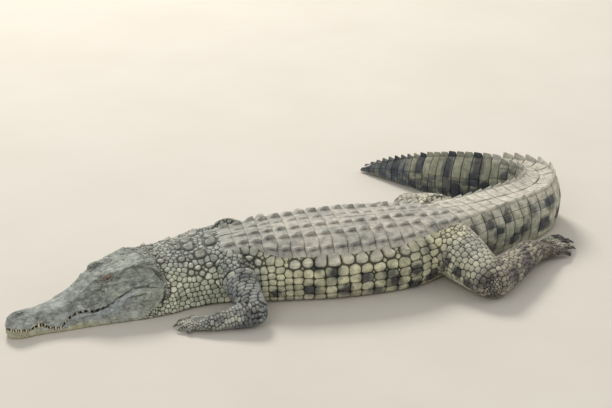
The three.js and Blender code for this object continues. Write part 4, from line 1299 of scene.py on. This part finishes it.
# Keeled plates of the back in cross rows, and ringed plates of the tail.
columnC = smoothCurve((700, 20), (900, 27), (1100, 30), (1300, 28), (1466, 24))
columnB = smoothCurve((700, 60), (900, 78), (1100, 88), (1230, 80), (1340, 72))
columnA = smoothCurve((700, 90), (840, 112), (930, 130), (1100, 138), (1260, 129), (1340, 112))
columnTail = smoothCurve((1250, 104), (1380, 93), (1466, 84))
backRows = {
    "first": 713, "pitch": 41.8, "count": 18, "height": 2.4, "reach": 6, "threeFrom": 840, "threeTo": 1330}
tailRows = {
    "around": smoothCurve((1466, 30), (1900, 29), (2080, 30), (2140, 26), (2300, 23), (2705, 14)),
    "foot": 4.5, "reach": 5, "topHeight": 2.3, "sideHeight": 2.7, "floorHeight": 2.0}
plate = {
    "gap": 1.0, "closedGap": -.6, "closedStep": .1, "keelWidth": .055, "rearLift": .2, "waver": 7,
    "skirt": 3}
alongSteps = np.array([0, .05, .15, .32, .5, .66, .79, .89, .955, 1])
acrossSteps = np.array([0, .06, .18, .3, .38, .45, .5, .55, .62, .7, .82, .94, 1])
backPlates, tailPlates = [], []


def nearRidge(s):
    return .8


def alongEdge(*edges):  # the middle between some edges given by their out, as a distance from the ridge
    return lambda s: arcAtOut(s, float(sum(edge(s) for edge in edges)) / len(edges))


def plateRow(rows, s0, s1, edges, keelsHere, height, reach):
    for low, high, keel in zip(edges[:-1], edges[1:], keelsHere):
        for side in (1, -1):
            rows.append({"from": s0, "to": s1, "low": (low(s0), low(s1)), "high": (high(s0), high(s1)),
                         "side": side, "keel": keel, "height": height, "reach": reach})


for k in range(backRows["count"]):
    s0 = backRows["first"] + backRows["pitch"] * k
    s = s0 + backRows["pitch"] / 2
    innerKeel = 8.5 * float(smoothstep(700, 820, s))
    outerKeel = max(14 * float(smoothstep(1340, 1270, s)), 6)
    betweenCB, outer = alongEdge(columnC, columnB), alongEdge(shieldOut)
    if s < backRows["threeFrom"]:
        edges, keelsHere = (nearRidge, betweenCB, outer), (innerKeel, 12)
    elif s < backRows["threeTo"]:
        edges = (nearRidge, betweenCB, alongEdge(columnB, columnA), outer)
        keelsHere = (innerKeel, 13, outerKeel)
    else:
        edges, keelsHere = (nearRidge, alongEdge(columnC, columnTail), outer), (innerKeel, 13)
    plateRow(backPlates, s0, s0 + backRows["pitch"], edges, keelsHere, backRows["height"], backRows["reach"])

crest = alongEdge(crestOut)


def footArc(s):
    return arcAtUp(s, tailRows["foot"])


def whorlEdges(cuts, start, end):
    return [lambda v, c=c: start(v) + (end(v) - start(v)) * c for c in cuts]


for s0, span in whorls:
    s1, s = s0 + span, s0 + span / 2
    if crest(s) > 22:
        keel = 1 + 5 * float(smoothstep(1760, 1480, s))
        topEdges = (nearRidge, lambda v: crest(v) - 1.5)
        plateRow(tailPlates, s0, s1, topEdges, (keel,), tailRows["topHeight"], tailRows["reach"])
    under = float(smoothstep(2105, 2125, s))
    first = .46 * float(smoothstep(2090, 2170, s))  # the far tail has one tall plate above the rest
    size = footArc(s) - crest(s)
    count = max(int(round(size * (1 - first) / float(tailRows["around"](s)))), 2)
    cuts = [0.0] + ([first] if first > .2 else [])
    cuts += list(np.linspace(cuts[-1], 1, count + 1)[1:])
    keelsHere = [1.2 if n == 0 and first < .2 else .5 for n in range(len(cuts) - 1)]
    sideEdges = whorlEdges(cuts, lambda v: (crest(v) + 1) * (1 - under) + 1.5 * under, footArc)
    plateRow(tailPlates, s0, s1, sideEdges, keelsHere, tailRows["sideHeight"], tailRows["reach"])
    floorEdges = whorlEdges((0, .5, 1), footArc, lambda v: onRing(v)[1][-1])
    plateRow(tailPlates, s0, s1, floorEdges, (0, 0), tailRows["floorHeight"], tailRows["reach"])


def describeBody(points):  # places taken as the body's, also beside a leg
    where = describe(points)
    where["limb"] = where["limb"] * 0
    return where


def plateGrids(rows, continuous):  # a grid of places for each plate that lies on the skin
    gap = plate["closedGap"] if continuous else plate["gap"]
    step = plate["closedStep"] if continuous else plate["gap"]
    middleU, middleV = len(alongSteps) // 2, len(acrossSteps) // 2
    grids, kept = [], []
    for row in rows:
        lines = []
        for share in alongSteps:
            low, high = (row[key][0] + (row[key][1] - row[key][0]) * share for key in ("low", "high"))
            at = row["from"] + step / 2 + (row["to"] - row["from"] - step) * share
            arcs = low + gap / 2 + max(high - low - gap, 1) * acrossSteps
            lines.append(bodySurface(at, arcs, row["side"]))
        grid = np.array(lines)
        centreAway = skinTree.find_nearest(Vector(grid[middleU, middleV]))[3]
        edgeAway = skinTree.find_nearest(Vector(grid[middleU, -2]))[3]
        if centreAway < row["reach"] and edgeAway < row["reach"] + 1:
            grids.append(grid)
            kept.append(row)
    return np.array(grids), kept


def plateTone(flat, keel, ridge, continuous):  # markings of the hide, with painted shade at the seams, beside the keels and in each plate's rear notch, and a painted highlight along the keel tops
    u, v = np.meshgrid(alongSteps, acrossSteps, indexing="ij")
    where = describeBody(flat.reshape(-1, 3))
    tone = hideColour(where).reshape(flat.shape)
    outer = np.abs(where["out"]) / np.maximum(shieldOut(where["s"]), 1)
    outer = smoothstep(.3, .95, outer).reshape(flat.shape[:3])
    if not continuous:
        centre = flat[:, len(alongSteps) // 2, len(acrossSteps) // 2]
        tone = tone * .6 + hideColour(describeBody(centre))[:, None, None] * .4
    tone = tone * rng.uniform(.93, 1.07, (len(flat), 1, 1, 1))
    edgeU, edgeV = plateEdges(u, v)
    # painted shade beside each keel, deepest on its outer side, and a painted shadow in the rear notch behind
    # it
    beside = np.exp(-((v - .62) / .075) ** 2) + .6 * np.exp(-((v - .39) / .06) ** 2)
    beside = beside * np.exp(-((u - .58) / .32) ** 2)
    notch = smoothstep(.84, .93, u) * np.exp(-((v - .5) / .15) ** 2)
    # painted shade at the seams between plates
    if continuous:
        seamShade = 1 - (.1 + .42 * outer) * (1 - edgeU)
    else:
        seamShade = (.22 + .78 * edgeU) * (.9 + .1 * edgeV)
    strength = np.clip(keel / 8, 0, 1)
    # the keel tops get a painted highlight
    shade = seamShade * (1 + strength * (.25 * ridge / 1.35 - .88 * beside - .75 * notch)).clip(.14, 2)
    return tone * shade[..., None]


def plateEdges(u, v):
    return smoothstep(0, .08, u) * smoothstep(1, .95, u), smoothstep(0, .1, v) * smoothstep(1, .9, v)


def platesMesh(name, rows, continuous):
    grids, kept = plateGrids(rows, continuous)
    lengthwise, crosswise = unit(np.gradient(grids, axis=1)), unit(np.gradient(grids, axis=2))
    for way, seed in ((lengthwise, 41), (crosswise, 42)):
        grids = grids + way * (mottle(grids, 36, seed) - .5)[..., None] * plate["waver"]
    side, keel, height = (
        np.array([row[key] for row in kept], float)[:, None, None] for key in ("side", "keel", "height"))
    normal = unit(np.cross(np.gradient(grids, axis=1), np.gradient(grids, axis=2))) * -side[..., None]
    flat = onSkin(grids)
    u, v = np.meshgrid(alongSteps, acrossSteps, indexing="ij")
    edgeU, edgeV = plateEdges(u, v)
    keel = keel * rng.uniform(.82, 1.15, keel.shape)
    sunk = .65 + .35 * edgeU if continuous else (.15 + .85 * edgeU) * (.75 + .25 * edgeV)
    body = height * sunk * (1 + plate["rearLift"] * (u - .5))
    ramp = smoothstep(-.1, .6, u) * smoothstep(.99, .86, u)
    ridge = np.exp(-((v - .5) / plate["keelWidth"]) ** 2) + .35 * np.exp(-((v - .5) / .2) ** 2)
    shaped = flat + normal * (body + keel * ramp * ridge / 1.35)[..., None]
    shaped[..., 2] = np.maximum(shaped[..., 2], floorClear)
    tone = plateTone(flat, keel, ridge, continuous).reshape(len(kept), -1, 3)

    grid = np.arange(u.size).reshape(u.shape)
    rim = np.concatenate([grid[0, :-1], grid[:-1, -1], grid[-1, :0:-1], grid[:0:-1, 0]])
    block = shaped.reshape(len(kept), -1, 3)
    skirt = block[:, rim] - normal.reshape(len(kept), -1, 3)[:, rim] * plate["skirt"]
    skirt[..., 2] = np.maximum(skirt[..., 2], floorClear)
    low = u.size + np.arange(len(rim))
    walls = np.stack([rim, np.roll(rim, -1), np.roll(low, -1), low], -1)
    quads = np.concatenate([sheetQuads(grid), walls])
    faces = quads[None] + np.arange(len(kept))[:, None, None] * (u.size + len(rim))
    flip = side[:, 0, 0] > 0
    faces[flip] = faces[flip][..., ::-1]
    mesh = makeMesh(name, toWorld(np.concatenate([block, skirt], 1).reshape(-1, 3)), faces.reshape(-1, 4))
    # the walls round each plate are painted at half brightness: painted shade beneath the plate edges
    setColour(mesh, np.concatenate([tone, tone[:, rim] * .5], 1).reshape(-1, 3))
    base = bodyUnwrap(describeBody(flat[:, u.shape[0] // 2, u.shape[1] // 2])) * .99 + .005
    local = np.stack([u - .5, v - .5], -1).reshape(-1, 2)
    local = np.concatenate([local, local[rim] * 1.04]) * patchWidth
    bakeMap(mesh, (base[:, None] + local[None]).reshape(-1, 2))
    return mesh


coatPieces.append(addObject("plates_back", platesMesh("plates_back", backPlates, True)))
coatPieces.append(addObject("plates_tail", platesMesh("plates_tail", tailPlates, False)))
print("plates", [len(piece.data.polygons) for piece in coatPieces[-2:]])

# Saw edge of the tail: two rows of low blades that join into one.
blades = {
    "height": smoothCurve((1466, 9), (1600, 11), (1800, 14), (1950, 20), (2080, 23), (2160, 20), (2380, 17),
                          (2480, 16), (2600, 11), (2705, 3)),
    "fullness": smoothCurve((1466, .4), (1900, .42), (2100, .55), (2180, .9), (2400, .86), (2450, .45),
                            (2500, .2), (2705, .1)),
    "joinAt": 2110, "last": 2672, "lean": .16, "root": 2.5}
bladeAlong = np.array([0, .06, .15, .28, .42, .56, .68, .78, .86, .93, 1])
bladeAround = np.linspace(-1, 1, 11)


def ridgeFoot(place, out):  # height of the body at some out
    line = onRing(float(place))[0]
    top = int(np.argmax(line[:, 0]))
    return np.interp(abs(out), line[:top + 1, 0], line[:top + 1, 1])


def blade(begin, span, side):  # points, tones and map places of one blade
    t, middle = bladeAlong, begin + span * .5
    s = begin + span * (t * 1.04 - .01)
    out = side * crestOut(s) * .98
    foot = np.array([ridgeFoot(place, o) for place, o in zip(s, out)]) - blades["root"]
    full = float(blades["fullness"](middle))
    tall = float(blades["height"](middle)) * rng.uniform(.92, 1.06)
    tall = tall * (full + (1 - full) * smoothstep(-.1, .8, t) ** 1.3)
    tall = tall * smoothstep(1.02, .84, t) * smoothstep(-.12, .1, t) + 2
    bulge = span * .13 * np.sin(np.clip(t * .94 + .03, 0, 1) * math.pi) ** .5
    thick = (2 + 2.2 * float(smoothstep(2430, 2500, middle)) + bulge) * (1 if middle < 2400 else .7)
    rise = 1 - np.abs(bladeAround) ** 1.25
    high = tall[:, None] * rise[None]
    outs = out[:, None] + bladeAround[None] * thick[:, None] * (1 - .35 * rise[None])
    sweep = np.broadcast_to(s[:, None], outs.shape) + high * blades["lean"]
    grid = bodyPoint(sweep, outs + side * high * blades["lean"], foot[:, None] + high)
    rootOut = side * float(crestOut(middle)) - (1.5 if side == 0 else 0)
    root = describeBody(bodyPoint(np.array([middle]), np.array([rootOut]), np.array([float(np.mean(foot))])))
    root["out"] = root["out"] + side * 6
    tone = np.broadcast_to(hideColour(root), (grid.shape[0] * grid.shape[1], 3))
    if side:
        pale = float(smoothstep(1700, 1950, middle) * smoothstep(2150, 2080, middle))
        tone = mixTone(tone, tones["tailDust"], .25 + .6 * pale)
    tone = tone * rng.uniform(.92, 1.08)
    # painted shade toward the blade's foot and its rear end, lighter along its top edge
    shade = (.5 + .6 * rise ** .7)[None] * smoothstep(1.06, .92, t)[:, None]
    local = np.stack(np.meshgrid(t - .5, bladeAround * .5, indexing="ij"), -1).reshape(-1, 2) * patchWidth
    unwrap = np.array([middle / (length + 20), .5 + side * .05]) * .99 + .005 + local
    return grid, tone * shade.reshape(-1, 1), unwrap


bladeParts = [blade(begin, span, side) for begin, span in whorls if begin <= blades["last"]
              for side in ((0,) if begin > blades["joinAt"] else (1, -1))]
bladeGrids = np.array([part[0] for part in bladeParts])
index = np.arange(bladeGrids[..., 0].size).reshape(bladeGrids.shape[:3])
bladeQuads = np.concatenate([sheetQuads(sheet) for sheet in index])
bladeMesh = makeMesh("tail_blades", toWorld(bladeGrids.reshape(-1, 3)), bladeQuads)
setColour(bladeMesh, np.concatenate([part[1] for part in bladeParts]))
bakeMap(bladeMesh, np.concatenate([part[2] for part in bladeParts]))
coatPieces.append(addObject("tail_blades", bladeMesh))
print("tail blades", len(bladeMesh.polygons))


# Teeth, claws and eyes.
def horn(base, tip, radius, bend, sides=12, rows=9):
    t = np.linspace(0, 1, rows)
    centres = base + (tip - base) * t[:, None] + np.array(bend) * (np.sin(t * math.pi))[:, None]
    size = radius * np.sqrt(np.maximum(1 - t ** 1.7, 0)) * (1 - .25 * t) + .12
    side, lift = limbAxes(unit(np.gradient(centres, axis=0) + 1e-6))
    angle = (np.arange(sides) / sides * 2 * np.pi)[None, :, None]
    rings = centres[:, None] + side[:, None] * np.cos(angle) * size[:, None, None]
    return tube(rings + lift[:, None] * np.sin(angle) * size[:, None, None])


fourthTooth = {"place": 89, "outside": 3.5}  # of the lower teeth, it stands in a notch outside the upper lip


def upperTooth(u, radius, side):  # out of its root and of its tip
    out = side * (float(lipOut(u)) * float(snoutRounding(u)) - radius * .75)
    return out, out + side * .8


def lowerTooth(u, radius, side):
    lip = float(min(jawOut(u), lipOut(u)))
    if u == fourthTooth["place"]:
        lip = float(lipOut(u)) + fourthTooth["outside"]
    out = side * (lip * float(snoutRounding(u)) - radius)
    return out, out - side * .2


def toothTubes(rows, toothOut, way):
    tubes = []
    for u, tall, radius in rows:
        centre, gap = (float(v) for v in mouthCentre(np.array(float(u))))
        gum = centre - way * (gap + 2.5)
        for side in (1, -1):
            rootOut, tipOut = toothOut(u, radius, side)
            root = bodyPoint(u, rootOut - side * 1.0, gum)
            tip = bodyPoint(u - 1.2, tipOut, gum + way * (tall + 2.5))
            tubes.append(horn(root, tip, radius, (0, -side * 1.0, 0)))
    return tubes


upperPiece = addObject("teeth_upper", solidMesh("teeth_upper", toothTubes(upperTeeth, upperTooth, -1)))
lowerPiece = addObject("teeth_lower", solidMesh("teeth_lower", toothTubes(lowerTeeth, lowerTooth, 1)))

clawShape = {"droop": 2.5, "root": .25, "lowest": 1.2}
clawTubes = []
for claw in claws:
    base = claw["base"] - (claw["tip"] - claw["base"]) * clawShape["root"]
    tip = claw["tip"] - (0, 0, clawShape["droop"])
    tip[2] = max(tip[2], clawShape["lowest"])
    clawTubes.append(horn(base, tip, claw["radius"], (0, 0, clawShape["droop"])))
clawPiece = addObject("claws", solidMesh("claws", clawTubes))

eyePieces = []
for label, side in (("left", 1), ("right", -1)):
    ball = bmesh.new()
    bmesh.ops.create_uvsphere(ball, u_segments=48, v_segments=32, radius=eye["radius"] / 1000)
    mesh = bpy.data.meshes.new("eyeball_" + label)
    ball.to_mesh(mesh)
    ball.free()
    co = readVertices(mesh, "co")
    place, out, up = eye["place"]
    turn = math.radians(float(heading(place)))
    forward = [math.cos(turn), math.sin(turn), 0]
    sideways = [math.sin(turn) * side, -math.cos(turn) * side, 0]
    gaze = np.stack([lidAlong, lidUp, facing]) @ np.array([forward, sideways, [0, 0, 1]])
    looking = mesh.attributes.new("looking", "FLOAT_VECTOR", "POINT")
    looking.data.foreach_set("vector", ((co * 1000) @ gaze.T / eye["radius"]).astype(np.float32).ravel())
    centre = toWorld(bodyPoint(place, out * side, up))
    mesh.vertices.foreach_set("co", (co + centre).astype(np.float32).ravel())
    mesh.polygons.foreach_set("use_smooth", np.ones(len(mesh.polygons), bool))
    mesh.update()
    eyePieces.append(addObject("eyeball_" + label, mesh))
skin = addObject("skin", skinMesh)
print("teeth, claws and eyes made")


# Materials. A Socket wraps one output, so that shader maths reads as Python.
class Socket:
    def __init__(self, look, socket):
        self.look, self.socket = look, socket

    def math(self, operation, *others):
        values = {n: value for n, value in enumerate((self,) + others)}
        return self.look.node("ShaderNodeMath", {"operation": operation}, values)

    def __add__(self, other):
        return self.math("ADD", other)

    def __mul__(self, other):
        return self.math("MULTIPLY", other)

    def __rsub__(self, other):
        return self * -1 + other

    def __pow__(self, other):
        return self.math("POWER", other)

    __radd__, __rmul__ = __add__, __mul__


class Look:  # one material and the nodes in it
    def __init__(self, name):
        self.material = bpy.data.materials.new(name)
        self.material.use_nodes = True
        self.tree = self.material.node_tree
        self.tree.nodes.clear()
        self.where = self.node("ShaderNodeTexCoord", output="Object")

    def node(self, kind, settings=None, values=None, output=0):
        made = self.tree.nodes.new(kind)
        for key, value in (settings or {}).items():
            setattr(made, key, value)
        for key, value in (values or {}).items():
            if isinstance(value, Socket):
                self.tree.links.new(value.socket, made.inputs[key])
            else:
                made.inputs[key].default_value = value
        return Socket(self, made.outputs[output]) if len(made.outputs) else None

    def attribute(self, name, output="Color"):
        return self.node("ShaderNodeAttribute", {"attribute_name": name}, output=output)

    def noise(self, where, scale, detail=3, roughness=.55):
        values = {"Vector": where, "Scale": scale, "Detail": detail, "Roughness": roughness}
        return self.node("ShaderNodeTexNoise", values=values)

    def cells(self, where, scale, feature="DISTANCE_TO_EDGE"):
        return self.node("ShaderNodeTexVoronoi", {"feature": feature}, {"Vector": where, "Scale": scale})

    def mix(self, share, a, b, blend="MIX"):
        settings = {"data_type": "RGBA", "blend_type": blend}
        return self.node("ShaderNodeMix", settings, {0: share, 6: a, 7: b}, 2)

    def between(self, value, low, high):
        values = {"Value": value, "From Min": low, "From Max": high}
        return self.node("ShaderNodeMapRange", {"interpolation_type": "SMOOTHSTEP"}, values)

    def bump(self, height, strength, depth):
        return self.node("ShaderNodeBump", values={"Strength": strength, "Distance": depth, "Height": height})

    def surface(self, colour, roughness, others):
        values = {"Base Color": colour, "Roughness": roughness, **others}
        shader = self.node("ShaderNodeBsdfPrincipled", values=values)
        self.node("ShaderNodeOutputMaterial", values={"Surface": shader})
        return self.material


def opaque(*rgb):
    return tuple(linear(rgb)) + (1,)


def hideMaterial(name, style):
    look = Look(name)
    where = look.where
    geometryNormal = look.node("ShaderNodeNewGeometry", output="Normal")
    facingUp = look.node("ShaderNodeSeparateXYZ", values={"Vector": geometryNormal}, output="Z")
    headShare = look.attribute("headShare", "Fac")
    coarse = look.noise(where, style["patchScale"], 4)
    fine = look.noise(where, style["grainScale"], 3, .6)
    shade = look.between(coarse * .6 + fine * .4, .3, .72) * style["shadeRange"]
    shade = shade + (1 - style["shadeRange"] * .55)
    grey = look.node("ShaderNodeCombineColor", values={0: shade, 1: shade, 2: shade})
    colour = look.mix(1.0, look.attribute("hide"), grey, "MULTIPLY")
    dust = look.between(facingUp, .15, .95) * look.between(coarse * .5 + fine * .5, .36, .62) * style["dust"]
    colour = look.mix(dust * (1 - headShare * .7), colour, style["dustTone"])

    # Fine cracks, then long folds that show on the head only, both on a wavering place.
    bend = look.node("ShaderNodeTexNoise", values={"Vector": where, "Scale": 120.0, "Detail": 2.0}, output=1)
    sway = (style["sway"],) * 3
    bent = look.node("ShaderNodeVectorMath", {"operation": "MULTIPLY_ADD"}, {0: bend, 1: sway, 2: where})
    cracked = look.between(look.noise(where, 22, 3), .38, .62)
    crease = 1 - (1 - look.between(look.cells(bent, style["cellScale"]), .02, .11)) * cracked
    long = look.node("ShaderNodeVectorMath", {"operation": "MULTIPLY"}, {0: bent, 1: (.32, .8, 1)})
    folded = look.between(look.noise(where, 16, 2), .4, .6)
    fold = 1 - (1 - look.between(look.cells(long, style["foldScale"]), .0, .07)) * folded
    pits = look.cells(where, style["pitScale"], "F1")
    speck = look.noise(where, 620, 3, .7)
    height = fine * style["grainDepth"] + crease * style["creaseDepth"] + pits * style["pitDepth"]
    height = height + speck * .25 + fold * headShare * .9
    # painted shade in the head's cracks and folds, and dark specks
    lines = headShare * ((1 - crease) * .3 + (1 - fold) * .45 + look.between(speck, .5, .72) * .22)
    return look.surface(look.mix(lines, colour, style["lineTone"]), fine * .18 + style["roughness"], {
        "Normal": look.bump(height, style["strength"], style["depth"]), "Specular IOR Level": .32})


hide = {
    "patchScale": 48, "grainScale": 280, "cellScale": 175, "foldScale": 105, "pitScale": 330, "sway": .006,
    "shadeRange": .6, "dust": .5, "dustTone": opaque(196, 180, 150), "lineTone": (.03, .031, .024, 1),
    "grainDepth": .5, "creaseDepth": .55, "pitDepth": .3, "strength": .75, "depth": .0016, "roughness": .58}
skinHide = {**hide, "dust": .14, "shadeRange": .55}
scaleHide = {**hide, "dust": .34, "shadeRange": .78, "cellScale": 260, "creaseDepth": .22, "depth": .0011}
skin.data.materials.clear()
skin.data.materials.append(hideMaterial("hide skin", skinHide))
coatLook = hideMaterial("hide scales", scaleHide)
for piece in coatPieces:
    piece.data.materials.append(coatLook)

ivory = {"pale": opaque(214, 204, 172), "stained": opaque(150, 128, 86), "stains": 190, "grain": 700}
look = Look("tooth ivory")
stained = look.between(look.noise(look.where, ivory["stains"]), .4, .7)
colour = look.mix(stained, ivory["pale"], ivory["stained"])
bump = look.bump(look.noise(look.where, ivory["grain"], 2), .3, .0004)
ivoryLook = look.surface(colour, look.noise(look.where, 400, 2) * .2 + .28, {"Normal": bump})
for piece in (upperPiece, lowerPiece):
    piece.data.materials.append(ivoryLook)

clawHorn = {"dark": opaque(46, 42, 38), "pale": opaque(112, 100, 84), "streaks": 240, "grain": 520}
look = Look("claw horn")
streaks = look.noise(look.where, clawHorn["streaks"], 4)
colour = look.mix(look.between(streaks, .35, .7), clawHorn["dark"], clawHorn["pale"])
bump = look.bump(look.noise(look.where, clawHorn["grain"]), .4, .0005)
clawPiece.data.materials.append(look.surface(colour, streaks * .2 + .36, {"Normal": bump}))

iris = {"dark": opaque(40, 31, 17), "pale": opaque(74, 58, 30), "rim": opaque(30, 24, 16),
        "pupil": (.004, .004, .003, 1)}
look = Look("eye")
toward = look.attribute("looking", "Vector")
x, y = (look.node("ShaderNodeSeparateXYZ", values={"Vector": toward}, output=axis) for axis in ("X", "Y"))
streaks = look.noise(toward, 14, 5, .7)
colour = look.mix(streaks, iris["dark"], iris["pale"])
colour = look.mix(look.between((x * x + y * y) ** .5, .55, .8), colour, iris["rim"])
colour = look.mix(look.between(x.math("ABSOLUTE"), .05, .12), iris["pupil"], colour)  # upright slit
eyeLook = look.surface(colour, streaks * .03 + .06, {"Coat Weight": .6})
for piece in eyePieces:
    piece.data.materials.append(eyeLook)

look = Look("pale floor")
colour = look.mix(look.noise(look.where, 2.2), opaque(206, 197, 182), opaque(217, 209, 195))
floorLook = look.surface(colour, look.noise(look.where, 60, 2) * .1 + .8, {})
print("materials made")

# The skin stands for all the flesh, the eyeballs for the eyes, and everything rides on the one body.
fleshNodes = ["head", "lower_jaw", "neck", "trunk_front", "trunk_middle", "trunk_rear"]
fleshNodes += [f"tail_{n}" for n in range(1, 7)]
limbNodes = ("upper_arm", "forearm", "hand", "thigh", "shank", "foot")
fleshNodes += [f"{part}_{side}" for part in limbNodes for side in ("left", "right")]
for piece in [skin, upperPiece, lowerPiece, clawPiece] + coatPieces + eyePieces:
    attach(piece, "root")
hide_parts(*fleshNodes)
for piece, label in zip(eyePieces, ("left", "right")):
    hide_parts("eye_" + label)

ground = bmesh.new()
bmesh.ops.create_grid(ground, x_segments=8, y_segments=8, size=14)
groundMesh = bpy.data.meshes.new("floor")
ground.to_mesh(groundMesh)
ground.free()
floor = addObject("floor", groundMesh)
floor.data.materials.append(floorLook)

lamps = {  # all face the animal's middle
    "sky": {"place": (-.9, 6.4, 5.9), "size": 2.4, "power": 590, "tone": (1, .985, .96)},
    "front": {"place": (-2.6, -4.2, 3.4), "size": 3.5, "power": 66, "tone": (.96, .98, 1)},
    "side": {"place": (4.4, -1.2, 3.0), "size": 3.0, "power": 40, "tone": (1, .99, .97)},
}
room = {"tone": (.92, .95, 1, 1), "strength": .52, "middle": (0, .1, .1)}
for name, lamp in lamps.items():
    light = bpy.data.lights.new(name, "AREA")
    light.size, light.energy, light.color = lamp["size"], lamp["power"], lamp["tone"]
    holder = addObject(name, light)
    holder.location = lamp["place"]
    toMiddle = Vector(room["middle"]) - Vector(lamp["place"])
    holder.rotation_euler = toMiddle.to_track_quat("-Z", "Y").to_euler()
world = bpy.data.worlds.new("soft room")
world.use_nodes = True
background = world.node_tree.nodes["Background"]
background.inputs["Color"].default_value = room["tone"]
background.inputs["Strength"].default_value = room["strength"]
scene.world = world
scene.view_settings.view_transform = "Standard"
print("stage set")
